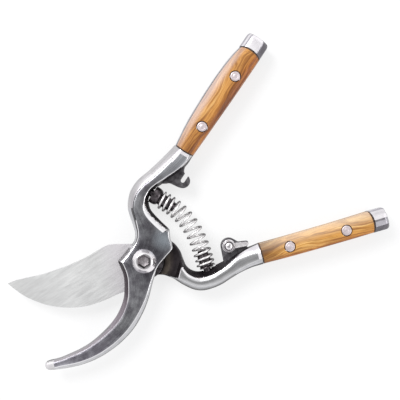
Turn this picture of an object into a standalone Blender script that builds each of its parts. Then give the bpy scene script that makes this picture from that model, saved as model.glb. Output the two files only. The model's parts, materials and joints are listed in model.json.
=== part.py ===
# Pruning shears (bypass secateurs) with forged steel levers, riveted wooden
# handle scales, a curved coil spring and a swinging latch.
#
# Frame: metres, +Z up. The origin is on the pivot axis, in the plane that the
# shears lie on (their back). +Z is the pivot axis, towards the hook side.
# +X runs from the pivot between the two open handles, +Y is towards the handle
# of the hook lever. Each lever is drawn in millimetres in a frame of its own,
# whose x axis runs along that lever's handle, and is then turned by half the
# opening angle.

import math

import bmesh
import bpy
from mathutils import Matrix, Vector

# ---------------------------------------------------------------- dimensions
MM = 0.001
OPEN_ANGLE = 40.7          # between the two handles, shears open
HALF_OPEN = math.radians(OPEN_ANGLE / 2)
GAP = 0.3                  # clearance between pieces that touch

HANDLE_THICK = 15.0        # over both scales
MID_Z = HANDLE_THICK / 2   # middle plane of both levers
TANG_HALF = 1.8            # half thickness of the steel between the scales

BYPASS_Z = 9.4             # plane where blade and hook slide on each other
HOOK_UNDER_Z = BYPASS_Z + GAP / 2
BLADE_FACE_Z = BYPASS_Z - GAP / 2
BLADE_THICK = 2.25
BLADE_BACK_Z = BLADE_FACE_Z - BLADE_THICK
SEAT_TOP_Z = BLADE_BACK_Z - GAP
SEAT_THICK = 2.7
SEAT_BACK_Z = SEAT_TOP_Z - SEAT_THICK
EAR_TOP_Z = 8.9

PIVOT_HEAD_R = 6.3
PIVOT_HEAD_TOP_Z = 18.0
PIVOT_SHANK_R = 3.0
BUSH_OUT_R = 4.5
BUSH_IN_R = PIVOT_SHANK_R + GAP
PIVOT_BORE_R = BUSH_OUT_R + GAP
NUT_THICK = 2.8
NUT_FLATS = 10.0
WASHER_R = 6.6
WASHER_THICK = 0.6
HOOK_TOP_Z = 14.2
HEX_KEY = 6.0

DISC_R = 9.8               # round seat of the blade lever about the pivot
BLADE_ROUND_R = 10.0       # round root of the blade about the pivot
EAR_CLEAR_R = 20.0         # the hook lever is hollowed to this radius

SCALE_START = 59.3
BUTT_X = {"hook": 120.5, "blade": 119.2}    # where the steel butts start
RIVET_X = {"hook": (74.6, 105.8), "blade": (74.6, 105.1)}
RIVET_R = 2.6
RIVET_Y = {"hook": 13.4, "blade": -13.4}

PEG_X = {"hook": 31.4, "blade": 30.1}
PEG_R = 3.3
COLLAR_R = 4.7
STUD_R = 2.0

LATCH_X, LATCH_Y = 44.3, -4.6
LATCH_ARM = 8.9            # from its rivet to its cross pin
LATCH_LIE = math.radians(-7.0)
LUG_TOP_Z = 10.0
LATCH_Z0, LATCH_Z1 = 10.3, 12.1
CATCH_PIN_R = 0.65
SLOT_Y = 6.5               # middle of the catch slot in the hook lever
SLOT_HALF = 1.15
SLOT_END_X = 45.9

SPRING_TURNS = 13
SPRING_SPREAD = 0.24       # how much wider the turns stand in the middle
SPRING_MEAN_R = 4.45
WIRE_R = 0.6

# ---------------------------------------------------------------- clean start
for old in list(bpy.data.objects):
    bpy.data.objects.remove(old, do_unlink=True)

scene_root = bpy.context.scene.collection


# ---------------------------------------------------------------- materials
def material(name, rgb, roughness, metallic):
    mat = bpy.data.materials.new(name)
    mat.use_nodes = True
    bsdf = mat.node_tree.nodes["Principled BSDF"]
    bsdf.inputs["Base Color"].default_value = (*rgb, 1.0)
    bsdf.inputs["Roughness"].default_value = roughness
    bsdf.inputs["Metallic"].default_value = metallic
    return mat


FORGED = ((0.16, 0.165, 0.17), 0.32, 1.0)
BLADE_STEEL = ((0.62, 0.63, 0.62), 0.35, 1.0)
BRIGHT = ((0.75, 0.74, 0.74), 0.22, 1.0)
WOOD = ((0.55, 0.33, 0.13), 0.5, 0.0)
BLACK_STEEL = ((0.035, 0.03, 0.035), 0.5, 1.0)
SPRING_STEEL = ((0.45, 0.44, 0.43), 0.3, 1.0)


# ---------------------------------------------------------------- frames
def empty(name, x, y, angle, parent=None):
    e = bpy.data.objects.new(name, None)
    e.location = (x * MM, y * MM, 0.0)
    e.rotation_euler = (0.0, 0.0, angle)
    e.parent = parent
    scene_root.objects.link(e)
    return e


hook_frame = empty("hook_lever_axis", 0, 0, HALF_OPEN)
blade_frame = empty("blade_lever_axis", 0, 0, -HALF_OPEN)
latch_frame = empty("latch_axis", LATCH_X, LATCH_Y, LATCH_LIE, blade_frame)


# ---------------------------------------------------------------- mesh tools
def add(name, bm, parent=None, look=None, smooth=35.0):
    """Turns a bmesh drawn in millimetres into an object in metres."""
    bmesh.ops.scale(bm, vec=(MM, MM, MM), verts=bm.verts)
    bmesh.ops.recalc_face_normals(bm, faces=bm.faces)
    mesh = bpy.data.meshes.new(name)
    bm.to_mesh(mesh)
    bm.free()
    obj = bpy.data.objects.new(name, mesh)
    obj.parent = parent
    scene_root.objects.link(obj)
    if look:
        mesh.materials.append(material(name + "_finish", *look))
    if smooth:
        mesh.shade_smooth()
        mesh.set_sharp_from_angle(angle=math.radians(smooth))
    return obj


def cutter(name, bm, parent=None):
    obj = add(name, bm, parent, smooth=0)
    obj.hide_render = True
    obj.display_type = "WIRE"
    return obj


def boolean(obj, other, operation):
    mod = obj.modifiers.new(operation.lower() + "_" + other.name, "BOOLEAN")
    mod.operation = operation
    mod.solver = "EXACT"
    mod.object = other


def loft(sections):
    """Closed skin through rings of equal point counts, capped at both ends."""
    bm = bmesh.new()
    rings = [[bm.verts.new(p) for p in ring] for ring in sections]
    n = len(rings[0])
    for a, b in zip(rings, rings[1:]):
        for i in range(n):
            j = (i + 1) % n
            bm.faces.new((a[i], a[j], b[j], b[i]))
    bm.faces.new(rings[0][::-1])
    bm.faces.new(rings[-1])
    return bm


def prism(outline, z0, z1):
    """Upright prism on a plan outline."""
    return loft([[(x, y, z0) for x, y in outline], [(x, y, z1) for x, y in outline]])


def circle(cx, cy, r, n=40, start=0.0):
    return [
        (cx + r * math.cos(start + 2 * math.pi * i / n), cy + r * math.sin(start + 2 * math.pi * i / n))
        for i in range(n)
    ]


def turned(profile, n=32, holes=False):
    """Solid of revolution about Z from (radius, z) points, closed on the axis
    or, with holes, closed on itself as a ring."""
    bm = bmesh.new()
    rings = []
    for r, z in profile:
        if r < 1e-6:
            rings.append([bm.verts.new((0, 0, z))])
        else:
            rings.append([bm.verts.new((r * math.cos(2 * math.pi * i / n), r * math.sin(2 * math.pi * i / n), z)) for i in range(n)])
    pairs = list(zip(rings, rings[1:]))
    if holes:
        pairs.append((rings[-1], rings[0]))
    for a, b in pairs:
        for i in range(n):
            j = (i + 1) % n
            if len(a) == 1:
                bm.faces.new((a[0], b[j], b[i]))
            elif len(b) == 1:
                bm.faces.new((a[i], a[j], b[0]))
            else:
                bm.faces.new((a[i], a[j], b[j], b[i]))
    return bm


def place(bm, matrix):
    bmesh.ops.transform(bm, matrix=matrix, verts=bm.verts)
    return bm


def merge(*parts):
    """Several closed meshes in one bmesh, for a cutter."""
    out = bmesh.new()
    for part in parts:
        mesh = bpy.data.meshes.new("merge")
        part.to_mesh(mesh)
        part.free()
        out.from_mesh(mesh)
        bpy.data.meshes.remove(mesh)
    return out


def catmull(rows, sub):
    """Smooth rows between the given rows of numbers."""
    out = []
    for i in range(len(rows) - 1):
        p0 = rows[max(i - 1, 0)]
        p1, p2 = rows[i], rows[i + 1]
        p3 = rows[min(i + 2, len(rows) - 1)]
        for k in range(sub):
            t = k / sub
            out.append([
                0.5 * (2 * b + (c - a) * t + (2 * a - 5 * b + 4 * c - d) * t * t + (3 * b - a - 3 * c + d) * t ** 3)
                for a, b, c, d in zip(p0, p1, p2, p3)
            ])
    out.append(list(rows[-1]))
    return out


def lever_section(row):
    """Eight-sided section between a left and a right rail. The flat top and
    back are set in from the rails by bevels of their own width and depth."""
    lx, ly, rx, ry, zb, zt, lw, ld, rw, rd = row
    left, right = Vector((lx, ly)), Vector((rx, ry))
    across = (right - left).normalized()
    li, ri = left + across * lw, right - across * rw
    return [
        (left.x, left.y, zb + ld),
        (left.x, left.y, zt - ld),
        (li.x, li.y, zt),
        (ri.x, ri.y, zt),
        (right.x, right.y, zt - rd),
        (right.x, right.y, zb + rd),
        (ri.x, ri.y, zb),
        (li.x, li.y, zb),
    ]


# ---------------------------------------------------------------- handles
def handle_rows(side):
    """(x, outer y, inner y) of the steel along the handle."""
    if side == "hook":
        return [(59.0, 20.2, 9.2), (74.0, 22.0, 8.7), (96.0, 22.6, 8.1), (112.0, 21.9, 7.8), (121.0, 20.3, 7.7)]
    return [(59.0, -18.6, -7.5), (74.0, -18.9, -7.6), (96.0, -19.0, -7.5), (112.0, -18.9, -7.2), (121.0, -18.7, -6.9)]


def handle_edges(side, x):
    rows = handle_rows(side)
    for a, b in zip(rows, rows[1:]):
        if x <= b[0] or b is rows[-1]:
            t = (x - a[0]) / (b[0] - a[0])
            t = max(0.0, min(1.0, t))
            return a[1] + (b[1] - a[1]) * t, a[2] + (b[2] - a[2]) * t


def scale_solid(side, front):
    """Wooden scale: flat against the tang, crowned outside."""
    inset_out = 1.2 if side == "hook" else 0.25
    sections = []
    steps = 10
    z_flat = MID_Z + TANG_HALF + GAP
    z_top = HANDLE_THICK
    height = z_top - z_flat
    for k in range(steps + 1):
        x = SCALE_START + (BUTT_X[side] - 0.3 - SCALE_START) * k / steps
        outer, inner = handle_edges(side, x)
        sign = 1 if outer > inner else -1
        outer -= sign * inset_out
        inner += sign * 0.1
        half = (outer - inner) / 2
        mid = (outer + inner) / 2
        ring = []
        for f, h in ((-1, 0), (-1, 0.24), (-0.86, 0.66), (-0.5, 1), (0.5, 1), (0.86, 0.66), (1, 0.24), (1, 0)):
            z = z_flat + height * h
            ring.append((x, mid + half * f, z if front else HANDLE_THICK - z))
        sections.append(ring)
    return loft(sections)


def rivet_cutter(side, name, parent):
    """Both through holes of one handle."""
    cut = merge(*(prism(circle(x, RIVET_Y[side], RIVET_R + GAP, 20), -2, HANDLE_THICK + 2) for x in RIVET_X[side]))
    return cutter(name, cut, parent)


def make_handle(side, parent, lever):
    holes = rivet_cutter(side, side + "_rivet_holes", parent)
    boolean(lever, holes, "DIFFERENCE")
    for front in (True, False):
        name = side + ("_scale_front" if front else "_scale_back")
        scale = add(name, scale_solid(side, front), parent, WOOD)
        boolean(scale, holes, "DIFFERENCE")
    for n, x in enumerate(RIVET_X[side], 1):
        r = RIVET_R
        profile = [(0, 0.0), (r - 0.5, 0.0), (r, 0.35), (r, HANDLE_THICK - 0.35), (r - 0.5, HANDLE_THICK), (0, HANDLE_THICK)]
        bm = place(turned(profile, 20), Matrix.Translation((x, RIVET_Y[side], 0)))
        add("%s_rivet_%d" % (side, n), bm, parent, BRIGHT)


# ---------------------------------------------------------------- hook lever
# Rails from the tip of the hook to the bolster. Left is the cutting side of
# the hook and then the outer side of the neck; right is the back of the hook
# and then the inner side of the neck, where the spring sits.
# Columns: left x, y; right x, y; back z, top z; left bevel width, depth;
# right bevel width, depth.
T = HOOK_TOP_Z
HOOK_ROWS = [
    (-73.6, 13.4, -75.0, 11.6, 4.0, T - 1.6, 0.6, 1.6, 0.6, 1.4),
    (-71.0, 13.2, -74.6, 9.6, 3.5, T - 0.9, 1.5, 2.6, 1.4, 2.2),
    (-66.3, 9.0, -71.0, 5.6, 3.0, T - 0.3, 2.0, 3.4, 1.9, 2.4),
    (-61.6, 5.8, -66.0, -0.2, 2.5, T, 2.2, 3.8, 2.1, 2.6),
    (-56.7, 2.8, -61.4, -4.1, 2.5, T, 2.4, 4.0, 2.2, 2.6),
    (-51.2, 0.2, -56.0, -7.7, 2.0, T, 2.5, 4.2, 2.3, 2.6),
    (-44.6, -1.8, -49.5, -10.8, 2.0, T, 2.6, 4.2, 2.3, 2.6),
    (-37.4, -3.2, -41.6, -13.4, 2.0, T, 2.6, 4.2, 2.3, 2.6),
    (-30.6, -3.4, -32.3, -14.8, 2.0, T, 2.6, 4.2, 2.2, 2.6),
    (-23.1, -1.8, -23.0, -14.2, 2.0, T, 2.6, 4.2, 2.0, 2.4),
    (-17.5, 1.2, -14.8, -12.4, 2.0, T, 2.6, 4.2, 1.6, 2.2),
    (-12.4, 5.2, -6.8, -9.6, 2.0, T, 2.5, 4.2, 1.2, 2.0),
    (-7.9, 11.6, 0.8, -7.9, 2.0, T, 1.6, 3.6, 0.9, 1.6),
    (-2.4, 11.0, 6.7, -8.3, 2.0, T, 1.3, 2.2, 0.9, 1.4),
    (3.1, 10.4, 12.8, -9.0, 2.0, T, 1.3, 2.2, 0.9, 1.4),
    (7.7, 11.0, 15.2, -7.2, 1.5, T, 1.8, 2.4, 1.0, 1.6),
    (10.6, 13.2, 17.3, -4.6, 1.0, T, 2.2, 2.6, 1.6, 2.4),
    (13.8, 17.8, 20.9, -1.4, 1.0, T, 2.4, 3.0, 2.6, 4.6),
    (17.3, 21.9, 22.0, 4.9, 1.0, T, 2.6, 3.0, 3.8, 4.8),
    (21.8, 24.8, 23.9, 12.0, 1.0, T, 2.8, 3.0, 4.4, 4.8),
    (26.8, 26.4, 27.5, 15.9, 1.0, T, 3.2, 3.2, 3.4, 4.8),
    (33.2, 26.3, 32.6, 16.6, 1.0, T, 3.6, 3.2, 2.6, 4.8),
    (40.8, 24.1, 39.0, 14.2, 1.0, T, 3.6, 3.2, 2.2, 4.6),
    (48.3, 22.3, 46.5, 11.0, 0.8, T + 0.2, 3.2, 3.2, 2.0, 4.2),
    (54.5, 21.0, 53.6, 9.2, 0.3, T + 0.5, 3.0, 3.4, 1.8, 3.8),
    (59.0, 20.2, 59.0, 9.2, 0.0, HANDLE_THICK, 2.8, 3.6, 2.0, 3.8),
]


def tang_and_butt(side, end_x):
    """Rows from the bolster's face through the thin tang to the butt."""
    rows = []

    def row(x_out, x_in, set_in, zb, zt, wide, deep):
        outer, inner = handle_edges(side, min(x_out, 121.0))
        sign = 1 if outer > inner else -1
        o, i = (x_out, outer - sign * set_in), (x_in, inner + sign * set_in)
        left, right = (o, i) if side == "hook" else (i, o)
        rows.append((*left, *right, zb, zt, wide, deep, wide, deep))

    zl, zh = MID_Z - TANG_HALF, MID_Z + TANG_HALF
    butt_x = BUTT_X[side]
    for x in (59.0, 66.0, 74.0, 85.0, 96.0, 104.0, 112.0, butt_x):
        row(x, x, 0.25, zl, zh, 0.5, 0.5)
    top = HANDLE_THICK
    row(butt_x, butt_x, 0.0, 0.0, top, 2.8, 3.6)
    row(end_x - 3.0, end_x - 3.0, 0.0, 0.1, top - 0.1, 2.8, 3.6)
    row(end_x - 1.0, end_x - 1.2, 0.25, 0.7, top - 0.7, 2.8, 3.5)
    row(end_x - 0.2, end_x - 0.4, 1.1, 1.7, top - 1.7, 2.4, 2.8)
    row(end_x, end_x - 0.1, 2.6, 3.0, top - 3.0, 1.8, 2.2)
    return rows


def hook_lever_solid():
    rows = catmull(HOOK_ROWS, 2) + [list(r) for r in tang_and_butt("hook", 130.0)]
    return loft([lever_section(r) for r in rows])


hook_lever = add("hook_lever", hook_lever_solid(), hook_frame, FORGED)

# Catch lug on the inner side of the neck, open slot towards the butt.
catch_lug = [
    (38.2, 16.5), (39.2, 13.6), (40.8, 11.6), (41.3, 9.0), (41.7, 6.4), (42.6, 4.2), (44.2, 2.9), (46.2, 2.6),
    (48.0, 3.3), (49.1, 4.6), (49.3, 5.6), (49.6, 7.7), (50.8, 8.9), (53.5, 10.2), (50.0, 13.0), (44.0, 15.5),
]
lug = cutter("catch_lug_form", prism(catch_lug, 4.6, LUG_TOP_Z), hook_frame)
boolean(hook_lever, lug, "UNION")

slot = [(56.0, SLOT_Y + SLOT_HALF), (56.0, SLOT_Y - SLOT_HALF)]
for i in range(9):
    a = -math.pi / 2 - math.pi * i / 8
    slot.append((SLOT_END_X + SLOT_HALF * math.cos(a), SLOT_Y + SLOT_HALF * math.sin(a)))
slot_cut = cutter("catch_slot_form", prism(slot, 3.5, LUG_TOP_Z + 1.0), hook_frame)
boolean(hook_lever, slot_cut, "DIFFERENCE")

# The underside is hollowed about the pivot, and the whole hook is flat-backed.
under = [(-90.0, 30.0), (-90.0, -30.0), (0.0, -30.0)]
steps = 30
a0, a1 = -math.pi / 2, math.pi / 2
for i in range(steps + 1):
    a = a0 + (a1 - a0) * i / steps
    under.append((EAR_CLEAR_R * math.cos(a), EAR_CLEAR_R * math.sin(a)))
under.append((0.0, 30.0))
under_cut = cutter("hook_underside_form", prism(under, -3.0, HOOK_UNDER_Z), hook_frame)
boolean(hook_lever, under_cut, "DIFFERENCE")

hook_bore = cutter("hook_bore_form", prism(circle(0, 0, PIVOT_BORE_R, 32), -4, 20), hook_frame)
boolean(hook_lever, hook_bore, "DIFFERENCE")


# ---------------------------------------------------------------- spring pegs
def upright(x, y, down):
    """Turns a part made along +Z to lie along -y (down) or +y at mid height."""
    return Matrix.Translation((x, y, MID_Z)) @ Matrix.Rotation(math.radians(90 if down else -90), 4, "X")


def spring_peg(side):
    if side == "hook":
        base, collar, end, down = 15.8, 4.4, 13.6, True
    else:
        base, collar, end, down = -12.6, 1.0, 9.6, False
    m = upright(PEG_X[side], base, down)
    profile = [
        (0, -2.6), (STUD_R, -2.6), (STUD_R, 0), (COLLAR_R, 0), (COLLAR_R, collar), (PEG_R, collar),
        (PEG_R, end - 3.0), (PEG_R - 1.0, end), (0, end),
    ]
    seat = merge(place(turned([(0, -GAP), (COLLAR_R + 0.4, -GAP), (COLLAR_R + 0.4, 12.0), (0, 12.0)], 32), m))
    hole = merge(place(turned([(0, -3.1), (STUD_R + GAP, -3.1), (STUD_R + GAP, 2.0), (0, 2.0)], 20), m))
    return place(turned(profile, 24), m), seat, hole


hook_peg, hook_seat, hook_hole = spring_peg("hook")
hook_seat = cutter("hook_seat_form", hook_seat, hook_frame)
hook_hole = cutter("hook_peg_hole_form", hook_hole, hook_frame)
boolean(hook_lever, hook_seat, "DIFFERENCE")
boolean(hook_lever, hook_hole, "DIFFERENCE")
add("hook_spring_peg", hook_peg, hook_frame, BLACK_STEEL)
make_handle("hook", hook_frame, hook_lever)

# ---------------------------------------------------------------- blade lever
# Left is the inner side, right is the outer side. It starts under the hook
# lever as a low ear and rises to full thickness at the neck.
E = EAR_TOP_Z
N = HOOK_TOP_Z
BLADE_LEVER_ROWS = [
    (5.8, 6.4, 3.6, -8.9, SEAT_BACK_Z, E, 0.4, 0.6, 0.4, 0.8),
    (11.5, 9.0, 7.4, -10.2, 3.4, E, 0.4, 0.6, 0.6, 1.0),
    (16.4, 5.4, 10.9, -12.4, 2.6, E, 0.6, 0.8, 0.8, 1.2),
    (18.9, 0.3, 13.3, -14.6, 1.8, E + 0.1, 0.8, 1.0, 1.0, 1.4),
    (19.4, -3.4, 15.0, -16.8, 1.4, E + 0.8, 1.0, 1.4, 1.4, 2.0),
    (20.2, -7.4, 17.2, -19.2, 1.0, N - 0.7, 1.6, 3.6, 2.2, 3.0),
    (22.0, -11.4, 20.4, -21.5, 1.0, N, 3.0, 4.8, 2.4, 3.0),
    (25.6, -13.2, 25.1, -23.4, 1.0, N, 3.8, 4.8, 2.4, 3.0),
    (30.4, -13.4, 30.6, -23.6, 1.0, N, 3.6, 4.8, 2.3, 3.0),
    (35.0, -12.4, 35.6, -22.9, 1.0, N, 3.4, 4.8, 2.2, 3.0),
    (39.8, -11.4, 40.6, -21.4, 1.0, N, 2.8, 4.8, 2.2, 3.0),
    (45.2, -9.6, 46.4, -19.8, 0.8, N + 0.2, 2.2, 4.6, 2.2, 3.2),
    (52.0, -8.2, 52.6, -18.8, 0.4, N + 0.5, 1.4, 4.0, 2.4, 3.4),
    (59.0, -7.5, 59.0, -18.6, 0.0, HANDLE_THICK, 2.0, 3.8, 2.8, 3.6),
]


def blade_lever_solid():
    rows = catmull(BLADE_LEVER_ROWS, 2) + [list(r) for r in tang_and_butt("blade", 128.2)]
    return loft([lever_section(r) for r in rows])


blade_lever = add("blade_lever", blade_lever_solid(), blade_frame, FORGED)

# Round seat for the blade about the pivot, with a toe that carries the rivet
# that keeps the blade from turning on its lever.
TOE = (-8.7, -5.1)
TOE_R = 5.0


def hull_outline(circles, n=48):
    """Outline round a few circles, as a belt round pulleys."""
    points = []
    for cx, cy, r in circles:
        points += circle(cx, cy, r, n)
    points = sorted(set((round(x, 6), round(y, 6)) for x, y in points))

    def half(seq):
        chain = []
        for p in seq:
            while len(chain) > 1 and (
                (chain[-1][0] - chain[-2][0]) * (p[1] - chain[-2][1])
                - (chain[-1][1] - chain[-2][1]) * (p[0] - chain[-2][0])
            ) <= 1e-9:
                chain.pop()
            chain.append(p)
        return chain[:-1]

    return half(points) + half(points[::-1])


seat_form = cutter("blade_seat_form", prism(hull_outline([(0, 0, DISC_R), (*TOE, TOE_R)]), SEAT_BACK_Z + 0.05, SEAT_TOP_Z + 1.0), blade_frame)
boolean(blade_lever, seat_form, "UNION")

# Recess for the round root of the blade, open to the left.
recess = [(-40.0, 20.0), (-40.0, -20.0), (-0.5, -20.0)]
for i in range(25):
    a = -math.pi / 2 + math.pi * i / 24
    recess.append(((BLADE_ROUND_R + 0.4) * math.cos(a), (BLADE_ROUND_R + 0.4) * math.sin(a)))
recess.append((-0.5, 20.0))
recess_cut = cutter("blade_recess_form", prism(recess, SEAT_TOP_Z, 20.0), blade_frame)
boolean(blade_lever, recess_cut, "DIFFERENCE")

# Clearance for the hook lever's shoulder: flat floor, then a sloped wall.
clear = place(
    turned([(0, E), (16.3, E), (18.9, N + 0.2), (19.6, N + 2.0), (0, N + 2.0)], 64),
    Matrix.Identity(4),
)
clear_cut = cutter("shoulder_clearance_form", clear, blade_frame)
boolean(blade_lever, clear_cut, "DIFFERENCE")

# Latch lug on the inner side of the neck.
latch_lug = hull_outline([(LATCH_X, LATCH_Y, 4.3), (42.0, -12.0, 2.6), (52.5, -11.5, 1.6), (54.0, -9.6, 1.0)], 40)
latch_lug_form = cutter("latch_lug_form", prism(latch_lug, 4.6, LUG_TOP_Z), blade_frame)
boolean(blade_lever, latch_lug_form, "UNION")

blade_bore = cutter(
    "blade_lever_bores_form",
    merge(
        prism(circle(0, 0, PIVOT_BORE_R, 32), -4, 20),
        prism(circle(*TOE, 2.2, 20), -4, 20),
        prism(circle(LATCH_X, LATCH_Y, 1.8, 20), 2.0, 16),
    ),
    blade_frame,
)
boolean(blade_lever, blade_bore, "DIFFERENCE")

blade_peg, blade_seat, blade_hole = spring_peg("blade")
blade_seat = cutter("blade_spring_seat_form", blade_seat, blade_frame)
blade_hole = cutter("blade_peg_hole_form", blade_hole, blade_frame)
boolean(blade_lever, blade_seat, "DIFFERENCE")
boolean(blade_lever, blade_hole, "DIFFERENCE")
add("blade_spring_peg", blade_peg, blade_frame, BLACK_STEEL)
make_handle("blade", blade_frame, blade_lever)

# ---------------------------------------------------------------- blade
# Left is the spine, right is the cutting edge, from the point to the root.
BLADE_ROWS = [
    (-72.2, 8.2, -72.0, 7.6),
    (-67.5, 8.7, -69.4, 4.0),
    (-62.3, 8.4, -65.6, -0.6),
    (-56.9, 8.1, -61.0, -4.6),
    (-50.5, 8.0, -54.5, -9.0),
    (-43.3, 8.5, -47.0, -12.2),
    (-36.0, 9.2, -39.0, -14.2),
    (-29.0, 10.3, -31.0, -14.6),
    (-23.4, 11.8, -24.4, -14.0),
    (-19.0, 12.9, -19.0, -13.1),
    (-15.4, 13.2, -14.7, -12.7),
    (-9.5, 11.8, -9.0, -11.8),
    (-4.9, 10.5, -4.2, -10.8),
]


def blade_solid():
    rows = catmull(BLADE_ROWS, 3)
    for k in range(1, 12):
        a = math.radians(110 - 100 * k / 11.0)
        x, y = BLADE_ROUND_R * math.cos(a), BLADE_ROUND_R * math.sin(a)
        rows.append([x, y, x, -y])
    sections = []
    for lx, ly, rx, ry in rows:
        left, right = Vector((lx, ly)), Vector((rx, ry))
        wide = (right - left).length
        across = (right - left) / wide
        # the ground bevel runs out before the root
        ground = max(0.0, min(1.0, (-8.0 - rx) / 8.0))
        bevel = min(5.0, 0.55 * wide)
        inner = right - across * (0.3 + bevel * ground)
        thin = BLADE_THICK - 0.35 if ground >= 1.0 else (BLADE_THICK - 0.35) * ground + 0.35 * (1 - ground)
        back = BLADE_BACK_Z
        if wide < 9.0:
            back = BLADE_FACE_Z - max(0.5, BLADE_THICK * (wide / 9.0))
            thin = (BLADE_FACE_Z - back) * 0.6
        sections.append([
            (left.x, left.y, BLADE_FACE_Z),
            (right.x, right.y, BLADE_FACE_Z),
            (right.x, right.y, back + thin),
            (inner.x, inner.y, back),
            (left.x, left.y, back),
        ])
    return loft(sections)


blade = add("blade", blade_solid(), blade_frame, BLADE_STEEL)
blade_bores = cutter(
    "blade_bores_form",
    merge(prism(circle(0, 0, PIVOT_BORE_R, 32), -4, 20), prism(circle(*TOE, 2.2, 20), -4, 20)),
    blade_frame,
)
boolean(blade, blade_bores, "DIFFERENCE")

rivet_profile = [(0, SEAT_BACK_Z - 1.3), (2.6, SEAT_BACK_Z - 1.3), (3.1, SEAT_BACK_Z - 0.9), (3.1, SEAT_BACK_Z - GAP), (1.9, SEAT_BACK_Z - GAP), (1.9, BLADE_FACE_Z - 0.1), (0, BLADE_FACE_Z - 0.1)]
add("blade_rivet", place(turned(rivet_profile, 20), Matrix.Translation((*TOE, 0))), blade_frame, BRIGHT)

# ---------------------------------------------------------------- pivot
socket_r = HEX_KEY / 2 / math.cos(math.pi / 6)
head0 = HOOK_TOP_Z + GAP
head_profile = [
    (0, 0.0), (PIVOT_SHANK_R, 0.0), (PIVOT_SHANK_R, head0), (PIVOT_HEAD_R, head0), (PIVOT_HEAD_R, head0 + 0.7),
    (4.6, PIVOT_HEAD_TOP_Z - 0.25), (4.2, PIVOT_HEAD_TOP_Z), (0, PIVOT_HEAD_TOP_Z),
]
pivot_bolt = add("pivot_bolt", turned(head_profile, 40), blade_frame, BRIGHT)
socket = cutter("hex_socket_form", prism(circle(0, 0, socket_r, 6, math.radians(20)), PIVOT_HEAD_TOP_Z - 2.4, 20), blade_frame)
boolean(pivot_bolt, socket, "DIFFERENCE")

nut_r = NUT_FLATS / 2 / math.cos(math.pi / 6)
pivot_nut = add("pivot_nut", prism(circle(0, 0, nut_r, 6, math.radians(10)), 0, NUT_THICK), blade_frame, BRIGHT, smooth=0)
nut_bore = cutter("nut_bore_form", prism(circle(0, 0, PIVOT_SHANK_R + GAP, 32), -2, 6), blade_frame)
boolean(pivot_nut, nut_bore, "DIFFERENCE")

w0 = NUT_THICK + GAP
add("pivot_washer", turned([(BUSH_IN_R, w0), (WASHER_R, w0), (WASHER_R, w0 + WASHER_THICK), (BUSH_IN_R, w0 + WASHER_THICK)], 32, holes=True), blade_frame, BRIGHT)
add("pivot_bushing", turned([(BUSH_IN_R, SEAT_BACK_Z), (BUSH_OUT_R, SEAT_BACK_Z), (BUSH_OUT_R, HOOK_TOP_Z), (BUSH_IN_R, HOOK_TOP_Z)], 32, holes=True), blade_frame, BRIGHT)

# ---------------------------------------------------------------- latch
bar = []
bar_half0, bar_half1 = 1.9, 1.6
eye_r = 3.4
start = math.asin(bar_half0 / eye_r)
for i in range(29):
    a = start + (2 * math.pi - 2 * start) * i / 28
    bar.append((eye_r * math.cos(a), eye_r * math.sin(a)))
for i in range(13):
    a = -math.pi / 2 + math.pi * i / 12
    bar.append((LATCH_ARM + bar_half1 * math.cos(a), bar_half1 * math.sin(a)))
latch_lever = add("latch_lever", prism(bar, LATCH_Z0, LATCH_Z1), latch_frame, FORGED)
latch_holes = cutter(
    "latch_holes_form",
    merge(prism(circle(0, 0, 1.8, 20), 5, 16), prism(circle(LATCH_ARM, 0, CATCH_PIN_R + 0.25, 14), 5, 16)),
    latch_frame,
)
boolean(latch_lever, latch_holes, "DIFFERENCE")
pin_profile = [(0, 5.6), (CATCH_PIN_R, 5.6), (CATCH_PIN_R, LATCH_Z1), (0, LATCH_Z1)]
add("latch_cross_pin", place(turned(pin_profile, 14), Matrix.Translation((LATCH_ARM, 0, 0))), latch_frame, BRIGHT)

latch_rivet_profile = [
    (0, 2.6), (1.5, 2.6), (1.5, LATCH_Z1 + GAP + 0.8), (2.9, LATCH_Z1 + GAP + 0.8), (2.9, LATCH_Z1 + GAP + 1.2),
    (1.9, LATCH_Z1 + GAP + 1.9), (0, LATCH_Z1 + GAP + 2.1),
]
add("latch_rivet", place(turned(latch_rivet_profile, 24), Matrix.Translation((LATCH_X, LATCH_Y, 0))), blade_frame, BRIGHT)
lw0 = LATCH_Z1 + GAP
add(
    "latch_washer",
    place(turned([(1.8, lw0), (3.1, lw0), (3.1, lw0 + 0.5), (1.8, lw0 + 0.5)], 24, holes=True), Matrix.Translation((LATCH_X, LATCH_Y, 0))),
    blade_frame,
    BRIGHT,
)


# ---------------------------------------------------------------- coil spring
def turn(point, angle):
    c, s = math.cos(angle), math.sin(angle)
    return Vector((point[0] * c - point[1] * s, point[0] * s + point[1] * c, 0.0))


def spring_line():
    """Middle line of the coil: straight off each peg, bowed in between."""
    out = WIRE_R + GAP
    start = turn((PEG_X["hook"], 15.8 - 4.4 - out), HALF_OPEN)
    end = turn((PEG_X["blade"], -12.6 + 1.0 + out), -HALF_OPEN)
    d0 = turn((0, -1), HALF_OPEN)
    d1 = turn((0, 1), -HALF_OPEN)
    run = 5.5
    a, b = start + d0 * run, end + d1 * run
    h = (b - a).length * 0.36
    pts = [start + d0 * (run * i / 6) for i in range(6)]
    for i in range(41):
        t = i / 40
        pts.append(a * (1 - t) ** 3 + (a + d0 * h) * 3 * t * (1 - t) ** 2 + (b + d1 * h) * 3 * t * t * (1 - t) + b * t ** 3)
    pts += [end + d1 * (run * (5 - i) / 6) for i in range(6)]
    return pts


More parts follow.
